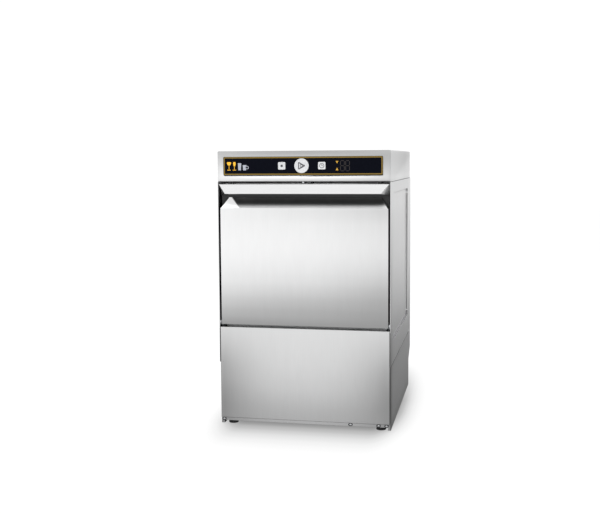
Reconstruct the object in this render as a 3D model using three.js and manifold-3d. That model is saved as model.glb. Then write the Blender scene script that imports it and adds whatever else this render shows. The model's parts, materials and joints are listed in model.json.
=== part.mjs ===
// Undercounter glass washer with a drop-down door, for 400 x 400 mm racks.
// Millimetres, +X to the viewer's right, the door faces -Y, +Z up.
// The origin is on the floor, under the middle of the machine's box.

import * as THREE from 'three';
import { ConvexGeometry } from 'three/addons/geometries/ConvexGeometry.js';
import { mergeVertices } from 'three/addons/utils/BufferGeometryUtils.js';
import Module from 'manifold-3d';

// ---------------------------------------------------------------- driving dimensions

const WIDTH = 455;
const DEPTH = 600;
const HEIGHT = 730;
const SHEET = 1.5;              // thickness of the steel sheet
const SEAM = 0.3;               // clearance where two pieces meet

const SIDE = WIDTH / 2;
const INNER_SIDE = SIDE - SHEET;
const FRONT = -288;             // plane of the fascia, the door and the lower front panel
const HANDLE_FRONT = -DEPTH / 2;
const REAR = DEPTH / 2;
const BODY_REAR = 275;          // back of the hood and of the side panels
const BASE_REAR = 247;          // back of the base, under the rear cover's foot

const HOOD_BOTTOM = 650;
const COVER_FOOT = 84;          // the rear cover's lowest edge
const COVER_KNEE = 116;         // where its foot starts to slope
const SIDE_SEAM = 171;          // joint between the upper and the lower side panels
const BASE_BOTTOM = 3;
const TRAY_BOTTOM = 13;
const FRONT_PANEL = { bottom: 21, top: 265.5, half: 225.6, depth: 11 };

const DOOR = { half: 221.5, bottom: 272, top: 644, back: -262.5, web: -268, fold: 580.5, ledge: 603 };
const HANDLE = { half: 223.5, mitre: 20, lip: 619, flap: 615 };
const HINGE = { y: -279, z: 277, pinRadius: 4, notch: 20, notchTop: 284 };

const CHAMBER = { half: 205, front: -258, rear: 162, bottom: 286.5, top: 628, mouth: 215.5 };
const TANK_FLOOR = 206;
const ARM_AXIS = { x: 0, y: -48 };
const SUMP = { x: -62, y: 60, radius: 30, bottom: 84 };
const PUMP = { y: 60, z: 110, radius: 55, left: -22, right: 24 };
const SHELF = 299.5;            // height of the rails that carry the rack

const STRIP = { left: -211, right: 208, bottom: 667, top: 715, thickness: 1.1 };
const BUTTON_Z = 691;
const BUTTON_TRAVEL = 0.8;
const FEET = { x: 200, front: -256, rear: 230, radius: 13 };
const CATCH = { y: -276, noseBottom: DOOR.top + 0.5, top: 667.5 };
const LEVER_END = { y: -258, z: 256, radius: 5 };     // where a door spring pulls on its hinge arm
const WASTE = { x: -185, z: 58 };                     // outlets through the back of the base tray
const INLET = { x: -30, z: 58 };
const CORD = { x: 150, z: 62 };

// ---------------------------------------------------------------- shape tools

const wasm = await Module();
wasm.setup();

function toSolid(geometry) {
  const bare = geometry.clone();
  bare.deleteAttribute('normal');
  bare.deleteAttribute('uv');
  const merged = mergeVertices(bare, 1e-4);
  return new wasm.Manifold(new wasm.Mesh({
    numProp: 3,
    vertProperties: new Float32Array(merged.attributes.position.array),
    triVerts: new Uint32Array(merged.index.array),
  }));
}

function toGeometry(solid) {
  const mesh = solid.getMesh();
  const geometry = new THREE.BufferGeometry();
  geometry.setAttribute('position', new THREE.BufferAttribute(new Float32Array(mesh.vertProperties), 3));
  geometry.setIndex(new THREE.BufferAttribute(new Uint32Array(mesh.triVerts), 1));
  return geometry;
}

function join(first, ...others) {
  return others.reduce((sum, other) => sum.add(other), first);
}

function cut(first, ...others) {
  return others.reduce((rest, other) => rest.subtract(other), first);
}

// A box between two values on each axis, given in either order.
function block(xs, ys, zs) {
  const size = [xs, ys, zs].map(([a, b]) => Math.abs(b - a));
  const middle = [xs, ys, zs].map(([a, b]) => (a + b) / 2);
  return toSolid(new THREE.BoxGeometry(...size).translate(...middle));
}

// A round bar along one axis; centre holds the other two coordinates in X, Y, Z order.
function rod(axis, radius, centre, ends, sides = 16, endRadius = radius) {
  const [from, to] = [Math.min(...ends), Math.max(...ends)];
  const geometry = new THREE.CylinderGeometry(endRadius, radius, to - from, sides);
  const middle = (from + to) / 2;
  if (axis === 'x') {
    geometry.rotateZ(-Math.PI / 2).translate(middle, centre[0], centre[1]);
  } else if (axis === 'y') {
    geometry.translate(centre[0], middle, centre[1]);
  } else {
    geometry.rotateX(Math.PI / 2).translate(centre[0], centre[1], middle);
  }
  return toSolid(geometry);
}

// A flat outline pushed along one axis. Outline points are (y, z) for x, (x, z) for y, (x, y) for z.
function slab(axis, outline, ends) {
  const shape = outline instanceof THREE.Shape
    ? outline
    : new THREE.Shape(outline.map(([u, v]) => new THREE.Vector2(u, v)));
  const [from, to] = [Math.min(...ends), Math.max(...ends)];
  const options = { depth: to - from, bevelEnabled: false, curveSegments: 3 };
  const geometry = new THREE.ExtrudeGeometry(shape, options);
  const turn = new THREE.Matrix4();
  const [ex, ey, ez] = [[1, 0, 0], [0, 1, 0], [0, 0, 1]].map((v) => new THREE.Vector3(...v));
  if (axis === 'x') {
    turn.makeBasis(ey, ez, ex).setPosition(from, 0, 0);
  } else if (axis === 'y') {
    turn.makeBasis(ex, ez, ey.clone().negate()).setPosition(0, to, 0);
  } else {
    turn.makeBasis(ex, ey, ez).setPosition(0, 0, from);
  }
  return toSolid(geometry.applyMatrix4(turn));
}

function roundedOutline([left, right], [bottom, top], radius) {
  const shape = new THREE.Shape();
  shape.absarc(right - radius, bottom + radius, radius, -Math.PI / 2, 0);
  shape.absarc(right - radius, top - radius, radius, 0, Math.PI / 2);
  shape.absarc(left + radius, top - radius, radius, Math.PI / 2, Math.PI);
  shape.absarc(left + radius, bottom + radius, radius, Math.PI, Math.PI * 1.5);
  shape.closePath();
  return shape;
}

// The straight-sided solid around a set of corner points.
function wrap(points) {
  return toSolid(new ConvexGeometry(points.map((point) => new THREE.Vector3(...point))));
}

// A round tube along a route with rounded corners; it is solid when wall is 0.
function pipe(route, radius, wall, sides = 10, steps = 30) {
  const points = route.map((point) => new THREE.Vector3(...point));
  const path = new THREE.CatmullRomCurve3(points, false, 'centripetal');
  const ring = new THREE.Shape();
  ring.absarc(0, 0, radius, 0, Math.PI * 2);
  if (wall > 0) {
    const hole = new THREE.Path();
    hole.absarc(0, 0, radius - wall, 0, Math.PI * 2, true);
    ring.holes.push(hole);
  }
  const options = { steps, extrudePath: path, curveSegments: sides / 2, bevelEnabled: false };
  return toSolid(new THREE.ExtrudeGeometry(ring, options));
}

// ---------------------------------------------------------------- finishes and assembly

const FINISHES = {
  steel: { color: 0xc9cbcc, roughness: 0.34, metalness: 1 },
  chamberSteel: { color: 0xb9bcbe, roughness: 0.4, metalness: 1 },
  fixing: { color: 0x8f9396, roughness: 0.35, metalness: 1 },
  bracket: { color: 0x3c3f42, roughness: 0.5, metalness: 0.8 },
  blackGlass: { color: 0x0c0d12, roughness: 0.08, metalness: 0 },
  whiteKey: { color: 0xf4f6f8, roughness: 0.3, metalness: 0 },
  rubber: { color: 0x1c1d1e, roughness: 0.85, metalness: 0 },
  blackPlastic: { color: 0x202224, roughness: 0.55, metalness: 0 },
  greyPlastic: { color: 0x8b9094, roughness: 0.5, metalness: 0 },
  bluePlastic: { color: 0x2d5f91, roughness: 0.45, metalness: 0 },
  board: { color: 0x1f6b3c, roughness: 0.6, metalness: 0 },
  motor: { color: 0x6d7276, roughness: 0.5, metalness: 0.6 },
};

const washer = new THREE.Group();

function add(name, solid, finish, group = washer) {
  const material = new THREE.MeshStandardMaterial(FINISHES[finish]);
  const mesh = new THREE.Mesh(toGeometry(solid), material);
  mesh.name = name;
  group.add(mesh);
  return mesh;
}

const SIDES = [{ word: 'left', sign: -1 }, { word: 'right', sign: 1 }];

// A pair of values mirrored to one side of the machine.
const mirrored = (sign, a, b) => [sign * a, sign * b];

// ---------------------------------------------------------------- casing

function hood() {
  const outside = block([-SIDE, SIDE], [FRONT, BODY_REAR], [HOOD_BOTTOM, HEIGHT]);
  const inside = block(
    [-INNER_SIDE, INNER_SIDE],
    [FRONT + SHEET, BODY_REAR - SHEET],
    [HOOD_BOTTOM + SHEET, HEIGHT - SHEET],
  );
  const frontLipDepth = 20;
  const openBelow = block(
    [-INNER_SIDE, INNER_SIDE],
    [FRONT + frontLipDepth, BODY_REAR - SHEET],
    [HOOD_BOTTOM - 1, HOOD_BOTTOM + 2 * SHEET],
  );
  const stripWindow = block(
    [STRIP.left + 6, STRIP.right - 6],
    [FRONT - 1, FRONT + SHEET + 1],
    [STRIP.bottom + 4, STRIP.top - 4],
  );
  const plungerHole = rod('z', 5, [0, CATCH.y], [HOOD_BOTTOM - 1, HOOD_BOTTOM + 3]);
  const neckHole = block([13, 20], [CATCH.y - 5, CATCH.y + 1], [HOOD_BOTTOM - 1, HOOD_BOTTOM + 3]);
  return cut(outside, inside, openBelow, stripWindow, plungerHole, neckHole);
}

// The upper side panel: a rectangular field is pressed inwards, with a vent slot along its rear edge.
function sidePanel(sign) {
  const field = { front: -215, rear: 205, bottom: 232, top: 618, depth: 4.5, radius: 10 };
  const zs = [SIDE_SEAM + SEAM, HOOD_BOTTOM - SEAM];
  const plate = block(mirrored(sign, SIDE, INNER_SIDE), [FRONT, BODY_REAR], zs);
  const inwards = mirrored(sign, INNER_SIDE + 0.1, INNER_SIDE - 10);
  const rearReturn = block(inwards, [BODY_REAR - SHEET, BODY_REAR], zs);
  const innerRim = slab(
    'x',
    roundedOutline(
      [field.front - SHEET, field.rear + SHEET],
      [field.bottom - SHEET, field.top + SHEET],
      field.radius + SHEET,
    ),
    mirrored(sign, INNER_SIDE + 0.1, INNER_SIDE - field.depth),
  );
  const pressing = slab(
    'x',
    roundedOutline([field.front, field.rear], [field.bottom, field.top], field.radius),
    mirrored(sign, SIDE + 1, SIDE - field.depth),
  );
  const louvre = block(
    mirrored(sign, INNER_SIDE - 0.1, SIDE - field.depth + 0.4),
    [field.rear - 1, field.rear + SHEET + 1],
    [field.bottom + 14, field.top - 14],
  );
  return cut(join(plate, rearReturn, innerRim), pressing, louvre);
}

function baseSide(sign) {
  const front = -276;
  const zs = [BASE_BOTTOM, SIDE_SEAM - SEAM];
  const plate = block(mirrored(sign, SIDE, INNER_SIDE), [front, BASE_REAR], zs);
  const frontReturn = block(mirrored(sign, INNER_SIDE + 0.1, INNER_SIDE - 6), [front, front + SHEET], zs);
  const footReturn = block(
    mirrored(sign, INNER_SIDE + 0.1, 219.4),
    [front, BASE_REAR - 2],
    [BASE_BOTTOM, BASE_BOTTOM + SHEET],
  );
  const springLug = rod('x', 2, [LEVER_END.y, 58], mirrored(sign, INNER_SIDE + 0.1, 217), 12);
  return join(plate, frontReturn, footReturn, springLug);
}

function baseTray() {
  const half = 219;
  const front = -286;
  const sideFlange = 30;
  const frontFlange = FRONT_PANEL.bottom - SEAM;
  const outside = block([-half, half], [front, BASE_REAR], [TRAY_BOTTOM, COVER_FOOT - SEAM]);
  const inside = block(
    [-half + SHEET, half - SHEET],
    [front + SHEET, BASE_REAR - SHEET],
    [TRAY_BOTTOM + SHEET, COVER_FOOT],
  );
  const across = [-half - 1, half + 1];
  const lowerSides = block(across, [front - 1, BASE_REAR - SHEET], [TRAY_BOTTOM + sideFlange, COVER_FOOT]);
  const lowerFront = block(across, [front - 1, front + 16], [frontFlange, COVER_FOOT]);
  const studHoles = footPlaces().map(({ x, y }) => rod('z', 5, [x, y], [0, 20], 16));
  const throughRear = [BASE_REAR - 7, BASE_REAR + 8];
  const drainHole = rod('y', 13, [WASTE.x, WASTE.z], throughRear);
  const inletHole = rod('y', 14, [INLET.x, INLET.z], throughRear);
  const glandHole = rod('y', 11, [CORD.x, CORD.z], throughRear);
  return cut(outside, inside, lowerSides, lowerFront, drainHole, inletHole, glandHole, ...studHoles);
}

function frontPanel() {
  const { bottom, top, half, depth } = FRONT_PANEL;
  const outside = block([-half, half], [FRONT, FRONT + depth], [bottom, top]);
  const inside = block([-half + SHEET, half - SHEET], [FRONT + SHEET, 0], [bottom + SHEET, top - SHEET]);
  return cut(outside, inside);
}

// The rear cover stands out behind the body, and its foot slopes in to the base.
function rearCover() {
  const [bodyEdge, baseEdge] = [BODY_REAR + SEAM, BASE_REAR + SEAM];
  const top = HOOD_BOTTOM - SEAM;
  const outside = slab('x', [
    [bodyEdge, top], [bodyEdge, SIDE_SEAM - SEAM], [baseEdge, SIDE_SEAM - SEAM], [baseEdge, COVER_FOOT],
    [REAR, COVER_KNEE], [REAR, top],
  ], [-SIDE, SIDE]);
  const inside = slab('x', [
    [bodyEdge - 1, top - SHEET], [bodyEdge - 1, SIDE_SEAM], [baseEdge - 1, SIDE_SEAM],
    [baseEdge - 1, COVER_FOOT + SHEET], [REAR - SHEET, COVER_KNEE + SHEET * 0.7], [REAR - SHEET, top - SHEET],
  ], [-INNER_SIDE, INNER_SIDE]);
  return cut(outside, inside);
}

function footPlaces() {
  const places = [];
  for (const y of [FEET.front, FEET.rear]) {
    for (const { word, sign } of SIDES) {
      places.push({ word: `${y < 0 ? 'front' : 'rear'}_${word}`, x: sign * FEET.x, y });
    }
  }
  return places;
}

function foot() {
  const pad = rod('z', FEET.radius, [0, 0], [0, TRAY_BOTTOM - SEAM - 2], 32, FEET.radius - 1);
  const hexagon = rod('z', 9, [0, 0], [TRAY_BOTTOM - SEAM - 2.2, TRAY_BOTTOM - SEAM], 6);
  const stud = rod('z', 4, [0, 0], [5, 40], 16);
  return join(pad, hexagon, stud);
}

// ---------------------------------------------------------------- controls in the fascia

const BUTTONS = [
  { name: 'stop_button', x: -54.5, radius: 9.6, square: true },
  { name: 'start_button', x: -2.3, radius: 18.8, square: false },
  { name: 'timer_button', x: 50.7, radius: 9.6, square: true },
];

function buttonBar(button, grow, ys) {
  const reach = button.radius + grow;
  if (!button.square) {
    return rod('y', reach, [button.x, BUTTON_Z], ys, 28);
  }
  const outline = roundedOutline(
    [button.x - reach, button.x + reach],
    [BUTTON_Z - reach, BUTTON_Z + reach],
    2.5,
  );
  return slab('y', outline, ys);
}

function displayGlass() {
  const outline = roundedOutline([STRIP.left, STRIP.right], [STRIP.bottom, STRIP.top], 3);
  const glass = slab('y', outline, [FRONT - SEAM - STRIP.thickness, FRONT - SEAM]);
  const holes = BUTTONS.map((button) => buttonBar(button, 0.4, [FRONT - 3, FRONT + 1]));
  return cut(glass, ...holes);
}

// The cap passes through the glass; a flange behind the fascia keeps it in.
function button(shape) {
  const flangeFront = FRONT + SHEET + SEAM;
  const cap = buttonBar(shape, 0, [FRONT - 2.2, flangeFront + 0.1]);
  const flange = buttonBar(shape, 3, [flangeFront, flangeFront + SHEET]);
  return join(cap, flange);
}

function controlBoard() {
  const flangeBack = FRONT + 2 * SHEET + SEAM;
  const front = flangeBack + BUTTON_TRAVEL + SEAM;
  const board = block([-204, 201], [front, front + 1.6], [669, 714]);
  const posts = [];
  for (const x of [-192, 189]) {
    posts.push(rod('y', 3, [x, BUTTON_Z], [front + 1, front + 12], 12));
  }
  const processor = block([80, 130], [front + 1.5, front + 6], [676, 706]);
  const plug = block([-170, -120], [front + 1.5, front + 11], [680, 702]);
  return join(board, processor, plug, ...posts);
}

function catchHousing() {
  const { y, noseBottom, top } = CATCH;
  const body = block([-8, 21], [y - 8, y + 12], [HOOD_BOTTOM + SHEET + SEAM, top]);
  const nose = block([9.5, 21], [y - 8, y + 4], [noseBottom, HOOD_BOTTOM - SEAM]);
  const neck = block([14, 19], [y - 4, y], [HOOD_BOTTOM - 1, HOOD_BOTTOM + 3]);
  const bore = rod('z', 4.4, [0, y], [HOOD_BOTTOM, top - 1.5], 20);
  return cut(join(body, nose, neck), bore);
}

function catchPlunger() {
  const tipBottom = DOOR.top + 0.7;
  const shank = rod('z', 4, [0, CATCH.y], [tipBottom + 1.8, CATCH.top - 6.5], 20);
  const tip = rod('z', 2, [0, CATCH.y], [tipBottom, tipBottom + 1.9], 20, 4);
  return join(shank, tip);
}

function doorBuffer(sign) {
  return rod('z', 5, [sign > 0 ? 200 : -196.5, -278], [DOOR.top + 1.1, HOOD_BOTTOM - SEAM], 20);
}

// ---------------------------------------------------------------- door

// Everything beyond the slanted end of the finger recess.
function recessEnd(sign, inset) {
  const half = DOOR.half - inset * 1.3;
  const top = 660;
  const outline = [
    [sign * half, DOOR.fold],
    [sign * (half - 18.5), DOOR.ledge],
    [sign * (half - 18.5), top],
    [sign * 260, top],
    [sign * 260, DOOR.fold],
  ];
  return slab('y', sign > 0 ? outline : outline.reverse(), [-310, DOOR.web + inset]);
}

function doorOuterSkin() {
  const { half, bottom, fold, ledge, web } = DOOR;
  const back = DOOR.back - SHEET - 0.4;
  const skinTop = DOOR.top - SHEET - 0.6;
  const outside = slab('x', [
    [FRONT, bottom], [back, bottom], [back, skinTop], [web, skinTop], [web, ledge], [FRONT, fold],
  ], [-half, half]);
  const inside = slab('x', [
    [FRONT + SHEET, bottom + SHEET], [back + 1, bottom + SHEET], [back + 1, skinTop - SHEET],
    [web + SHEET, skinTop - SHEET], [web + SHEET, ledge - 0.6], [FRONT + SHEET, fold - 0.6],
  ], [-half + SHEET, half - SHEET]);
  const outerEnds = SIDES.map(({ sign }) => recessEnd(sign, 0));
  const innerEnds = SIDES.map(({ sign }) => recessEnd(sign, SHEET));
  const hingeNotches = SIDES.map(({ sign }) => block(
    mirrored(sign, half - HINGE.notch, half + 1),
    [FRONT + SHEET + SEAM, back + 1],
    [bottom - 1, HINGE.notchTop],
  ));
  const cornerReliefs = SIDES.map(({ sign }) => block(
    mirrored(sign, half - HINGE.notch, half + 1),
    [FRONT - 1, back + 1],
    [bottom - 1, bottom + SHEET],
  ));
  return cut(cut(outside, ...outerEnds), cut(inside, ...innerEnds), ...hingeNotches, ...cornerReliefs);
}

// The inner skin's field is dished towards the outer one.
function doorInnerSkin() {
  const dishDepth = 3;
  const zs = [DOOR.bottom + 1, DOOR.top - SHEET - SEAM];
  const plate = block([-DOOR.half + SHEET, DOOR.half - SHEET], [DOOR.back - SHEET, DOOR.back], zs);
  const field = (grow) => roundedOutline([-186 - grow, 186 + grow], [312 - grow, 560 + grow], 14 + grow);
  const dish = slab('y', field(SHEET), [DOOR.back - SHEET - dishDepth, DOOR.back - SHEET]);
  const hollow = slab('y', field(0), [DOOR.back - dishDepth, DOOR.back + 1]);
  const notches = SIDES.map(({ sign }) => block(
    mirrored(sign, 217.5, 230),
    [DOOR.back - 3, DOOR.back + 1],
    [DOOR.bottom, HINGE.notchTop + 2],
  ));
  return cut(join(plate, dish), hollow, ...notches);
}

// The handle strip leans forwards, with mitred ends, and is open below for the fingers.
function handleBody(inset) {
  const top = DOOR.top - inset;
  const flap = HANDLE.flap - (inset ? 8 : 0);
  const lip = HANDLE.lip - (inset ? 8 : 0);
  const lipHalf = HANDLE.half - HANDLE.mitre - inset * 1.5;
  const topHalf = HANDLE.half - inset * 1.5;
  const lean = inset ? -3.8 : 0;
  const back = DOOR.web - SEAM + (inset ? 5 : 0);
  const corners = [];
  for (const sign of [-1, 1]) {
    corners.push([sign * topHalf, FRONT + inset, top]);
    corners.push([sign * topHalf, back, top]);
    corners.push([sign * lipHalf, HANDLE_FRONT + inset + lean, lip]);
    corners.push([sign * (topHalf - 2), back, flap]);
  }
  return wrap(corners);
}

function doorHandle() {
  const topPlate = block(
    [-DOOR.half, DOOR.half],
    [DOOR.web - 1, DOOR.back],
    [DOOR.top - SHEET, DOOR.top],
  );
  return join(cut(handleBody(0), handleBody(SHEET)), topPlate);
}

function doorSeal() {
  const outer = roundedOutline([-214, 214], [279, 636], 12);
  const inner = roundedOutline([-207.5, 207.5], [285.6, 629.4], 6);
  const ys = [DOOR.back + SEAM, CHAMBER.front - SEAM];
  return cut(slab('y', outer, ys), slab('y', inner, [DOOR.back - 1, CHAMBER.front + 1]));
}

function hingeArm(sign) {
  const foot = block(mirrored(sign, 204, 218), [FRONT + SHEET + SEAM, DOOR.back - SHEET - 0.4], [273, 330]);
  const boss = rod('x', 6, [HINGE.y, HINGE.z], mirrored(sign, 217, 222.5));
  const lever = slab('x', [
    [HINGE.y - 4.2, HINGE.z - 4.2],
    [LEVER_END.y - 3.5, LEVER_END.z - 3.5],
    [LEVER_END.y + 3.5, LEVER_END.z + 3.5],
    [HINGE.y + 4.2, HINGE.z + 4.2],
  ], mirrored(sign, 218.8, 222.5));
  const eye = rod('x', LEVER_END.radius, [LEVER_END.y, LEVER_END.z], mirrored(sign, 218.8, 222.5), 16);
  const bore = rod('x', HINGE.pinRadius + 0.15, [HINGE.y, HINGE.z], mirrored(sign, 203, 224));
  return cut(join(foot, boss, lever, eye), bore);
}

function hingePin(sign) {
  const pin = rod('x', HINGE.pinRadius, [HINGE.y, HINGE.z], mirrored(sign, 204.5, 224));
  const head = rod('x', 8, [HINGE.y, HINGE.z], mirrored(sign, 223.2, INNER_SIDE - SEAM));
  return join(pin, head);
}

class Helix extends THREE.Curve {
  constructor(radius, turns, length) {
    super();
    this.radius = radius;
    this.turns = turns;
    this.length = length;
  }

  getPoint(t, target = new THREE.Vector3()) {
    const angle = t * this.turns * Math.PI * 2;
    return target.set(this.radius * Math.cos(angle), this.radius * Math.sin(angle), this.length * t);
  }
}

const SPRING = { bottom: 62, top: 250.5, radius: 3.4, wire: 0.9, turns: 11, x: 220.5 };

function doorSpring() {
  const ring = new THREE.Shape();
  ring.absarc(0, 0, SPRING.wire, 0, Math.PI * 2);
  const path = new Helix(SPRING.radius, SPRING.turns, SPRING.top - SPRING.bottom - 2 * SPRING.wire);
  const options = { steps: SPRING.turns * 7, extrudePath: path, curveSegments: 2, bevelEnabled: false };
  return toSolid(new THREE.ExtrudeGeometry(ring, options));
}

// ---------------------------------------------------------------- wash chamber

function chamberWall(sign) {
  const zs = [CHAMBER.bottom, CHAMBER.top - SEAM];
  const { half, front, rear } = CHAMBER;
  const wall = block(mirrored(sign, half, half + SHEET), [front, rear + SHEET], zs);
  const flange = block(mirrored(sign, half, CHAMBER.mouth), [front, front + SHEET], zs);
  return join(wall, flange);
}

function chamberRearWall() {
  const half = CHAMBER.half - SEAM;
  return block([-half, half], [CHAMBER.rear, CHAMBER.rear + SHEET], [CHAMBER.bottom, CHAMBER.top - SEAM]);
}

function chamberCeiling() {
  const half = CHAMBER.half + SHEET;
  const top = CHAMBER.top + SHEET;
  const sheet = block([-half, half], [CHAMBER.front, CHAMBER.rear + SHEET], [CHAMBER.top, top]);
  const flangeDepth = [CHAMBER.front, CHAMBER.front + SHEET];
  const flange = block([-CHAMBER.mouth, CHAMBER.mouth], flangeDepth, [CHAMBER.top, HOOD_BOTTOM - 4]);
  const hole = rod('z', 14.4, [ARM_AXIS.x, ARM_AXIS.y], [CHAMBER.top - 1, top + 1]);
  return cut(join(sheet, flange), hole);
}

const HEATER = { x: 110, z: 228 };

function washTank() {
  const half = CHAMBER.half + SHEET;
  const rim = CHAMBER.bottom - SEAM;
  const rear = CHAMBER.rear + SHEET;
  const outside = block([-half, half], [CHAMBER.front, rear], [TANK_FLOOR, rim]);
  const inside = block(
    [-half + SHEET, half - SHEET],
    [CHAMBER.front + SHEET, rear - SHEET],
    [TANK_FLOOR + SHEET, rim + 1],
  );
  const flange = block([-CHAMBER.mouth, CHAMBER.mouth], [CHAMBER.front, CHAMBER.front + SHEET], [262, rim]);
  const flangeCut = block([-CHAMBER.mouth, CHAMBER.mouth], [CHAMBER.front - 1, CHAMBER.front], [262, rim]);
  const hubHole = rod('z', 14.4, [ARM_AXIS.x, ARM_AXIS.y], [TANK_FLOOR - 1, TANK_FLOOR + 3]);
  const sumpHole = rod('z', SUMP.radius - 3, [SUMP.x, SUMP.y], [TANK_FLOOR - 1, TANK_FLOOR + 3]);
  const heaterHole = rod('y', 17, [HEATER.x, HEATER.z], [rear - 5, rear + 2]);
  return cut(join(outside, flange), inside, flangeCut, hubHole, sumpHole, heaterHole);
}

function rackRail(sign) {
  const ys = [-250, 150];
  const web = block(mirrored(sign, CHAMBER.half - SEAM, CHAMBER.half - SEAM - SHEET), ys, [290, 308]);
  const shelf = block(mirrored(sign, CHAMBER.half - SEAM, 188), ys, [SHELF - SHEET, SHELF]);
  return join(web, shelf);
}

function tankFilter() {
  const half = CHAMBER.half - 2;
  const [front, rear, top, lip] = [CHAMBER.front + 4, CHAMBER.rear - 3, 253.5, 8];
  const outside = block([-half, half], [front, rear], [top - lip, top]);
  const innerHalf = half - SHEET;
  const inside = block([-innerHalf, innerHalf], [front + SHEET, rear - SHEET], [top - lip - 1, top - SHEET]);
  const hubHole = rod('z', 24, [ARM_AXIS.x, ARM_AXIS.y], [top - lip - 1, top + 1]);
  const slots = [];
  for (let row = 0; row < 7; row += 1) {
    for (const x of [-170, -124, 78, 124]) {
      const y = -226 + row * 56;
      slots.push(block([x, x + 36], [y, y + 18], [top - 3, top + 1]));
    }
  }
  return cut(outside, inside, hubHole, ...slots);
}

// ---------------------------------------------------------------- spray arms

function lowerArmHub() {
  const { x, y } = ARM_AXIS;
  const stem = rod('z', 14, [x, y], [96, 262], 20);
  const elbow = rod('y', 14, [x, PUMP.z], [y, 2], 20);
  const spindle = rod('z', 7, [x, y], [261, 296], 20);
  const nut = rod('z', 11, [x, y], [290.5, 296.5], 6);
  return join(stem, elbow, spindle, nut);
}

function upperArmHub() {
  const { x, y } = ARM_AXIS;
  const stem = rod('z', 14, [x, y], [612, 650], 20);
  const spindle = rod('z', 7, [x, y], [578, 613], 20);
  const nut = rod('z', 11, [x, y], [577.5, 583.5], 6);
  return join(stem, spindle, nut);
}

// A two-bladed arm on the spindle's axis, with nozzles on the face that points at the rack.
function sprayArm({ reach, width, height, hub, nozzles, up }) {
  const outline = roundedOutline([-reach, reach], [-width / 2, width / 2], width / 2 - 0.5);
  const blade = slab('z', outline, [0, height]);
  const boss = rod('z', hub, [0, 0], [0, height], 20);
  const faceZ = up ? [height - 0.5, height + 2] : [0.5, -2];
  const jets = [];
  for (let index = 1; index <= nozzles; index += 1) {
    for (const sign of [-1, 1]) {
      jets.push(rod('z', 3.2, [sign * (hub + (index - 0.4) * (reach - hub) / nozzles), 0], faceZ, 6));
    }
  }
  const bore = rod('z', 7.3, [0, 0], [-3, height + 3], 20);
  return cut(join(blade, boss, ...jets), bore);
}

const WASH_ARM = { reach: 186, width: 26, height: 12, hub: 20, nozzles: 4 };
const RINSE_ARM = { reach: 168, width: 12, height: 7, hub: 13, nozzles: 5 };

// ---------------------------------------------------------------- pumps and water parts in the base

const FLOOR = TRAY_BOTTOM + SHEET + SEAM;     // underside of what stands on the base tray

function washPumpHousing() {
  const { y, z, radius, left, right } = PUMP;
  const volute = rod('x', radius, [y, z], [left, right], 28);
  const pot = rod('z', SUMP.radius, [SUMP.x, SUMP.y], [SUMP.bottom, TANK_FLOOR - SEAM], 24);
  const suction = rod('x', 16, [y, z], [SUMP.x + 20, left + 2]);
  const armOutlet = rod('y', 17, [0, z], [2 + SEAM, y - 40]);
  const pipeOutlet = rod('y', 16, [0, z + 38], [y, 124]);
  const foot = block([-15, 18], [y - 20, y + 20], [FLOOR, z - radius + 6]);
  const potBore = rod('z', SUMP.radius - 3, [SUMP.x, SUMP.y], [SUMP.bottom + 3, TANK_FLOOR + 1], 24);
  const eye = rod('x', 11, [y, z], [SUMP.x, -4]);
  const cavity = rod('x', 45, [y, z], [-5, 18], 28);
  const shaftHole = rod('x', 6.8, [y, z], [17, right + 1]);
  return cut(join(volute, pot, suction, armOutlet, pipeOutlet, foot), potBore, eye, cavity, shaftHole);
}

// A disc with six straight vanes, about its own axis; place is its centre in the machine.
function washPumpImpeller() {
  const { y, z } = PUMP;
  const disc = rod('x', 41, [0, 0], [13, 16], 28);
  const hub = rod('x', 11, [0, 0], [-1, 14]);
  const shaft = rod('x', 6, [0, 0], [10, 60]);
  const vanes = [];
  for (let index = 0; index < 6; index += 1) {
    const vane = block([0, 14], [8, 39], [-1.5, 1.5]);
    vanes.push(vane.rotate([index * 60, 0, 0]));
  }
  return { solid: join(disc, hub, shaft, ...vanes), place: [0, y, z] };
}

function washPumpMotor() {
  const { y, z, right } = PUMP;
  const flange = rod('x', 54, [y, z], [right + SEAM, right + 4], 28);
  const body = rod('x', 45, [y, z], [right + 3, 150], 28);
  const fanCover = rod('x', 42, [y, z], [149, 164], 28, 36);
  const capacitor = rod('x', 15, [y - 10, z + 56], [60, 120]);
  const saddle = block([62, 118], [y - 24, y + 4], [z + 36, z + 50]);
  const foot = block([55, 125], [y - 32, y + 32], [FLOOR, z - 30]);
  const bore = rod('x', 6.3, [y, z], [right - 1, 63]);
  return cut(join(flange, body, fanCover, capacitor, saddle, foot), bore);
}

function washPipe() {
  const route = [
    [0, 124.5, 148], [0, 150, 148], [0, 176, 155], [0, 188, 180], [0, 188, 300], [0, 188, 500], [0, 188, 636],
    [0, 178, 662], [0, 150, 672], [0, 60, 672], [0, -16, 672], [0, -41, 667], [0, -48, 658], [0, -48, 650.8],
  ];
  return pipe(route, 14, 2, 12, 24);
}

function drainPump() {
  const [y, z] = [PUMP.y, 106];
  const head = rod('x', 24, [y, z], [SUMP.x - SUMP.radius - SEAM, -138], 24);
  const motor = rod('x', 20, [y, z], [-137, -178]);
  const outlet = rod('y', 10, [-118, z], [y, 100], 20);
  const foot = block([-134, -104], [y - 16, y + 16], [FLOOR, z - 12]);
  return join(head, motor, outlet, foot);
}

function drainHose() {
  const route = [
    [-118, 100.4, 106], [-118, 124, 105], [-128, 155, 92], [-170, 196, 66],
    [WASTE.x, 228, WASTE.z], [WASTE.x, BASE_REAR, WASTE.z], [WASTE.x, 268, WASTE.z],
  ];
  return pipe(route, 10, 2, 10, 14);
}

const BOILER = { x: -120, y: 228, bottom: 200, top: 500, radius: 52, wall: 2, neck: 9 };

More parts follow.
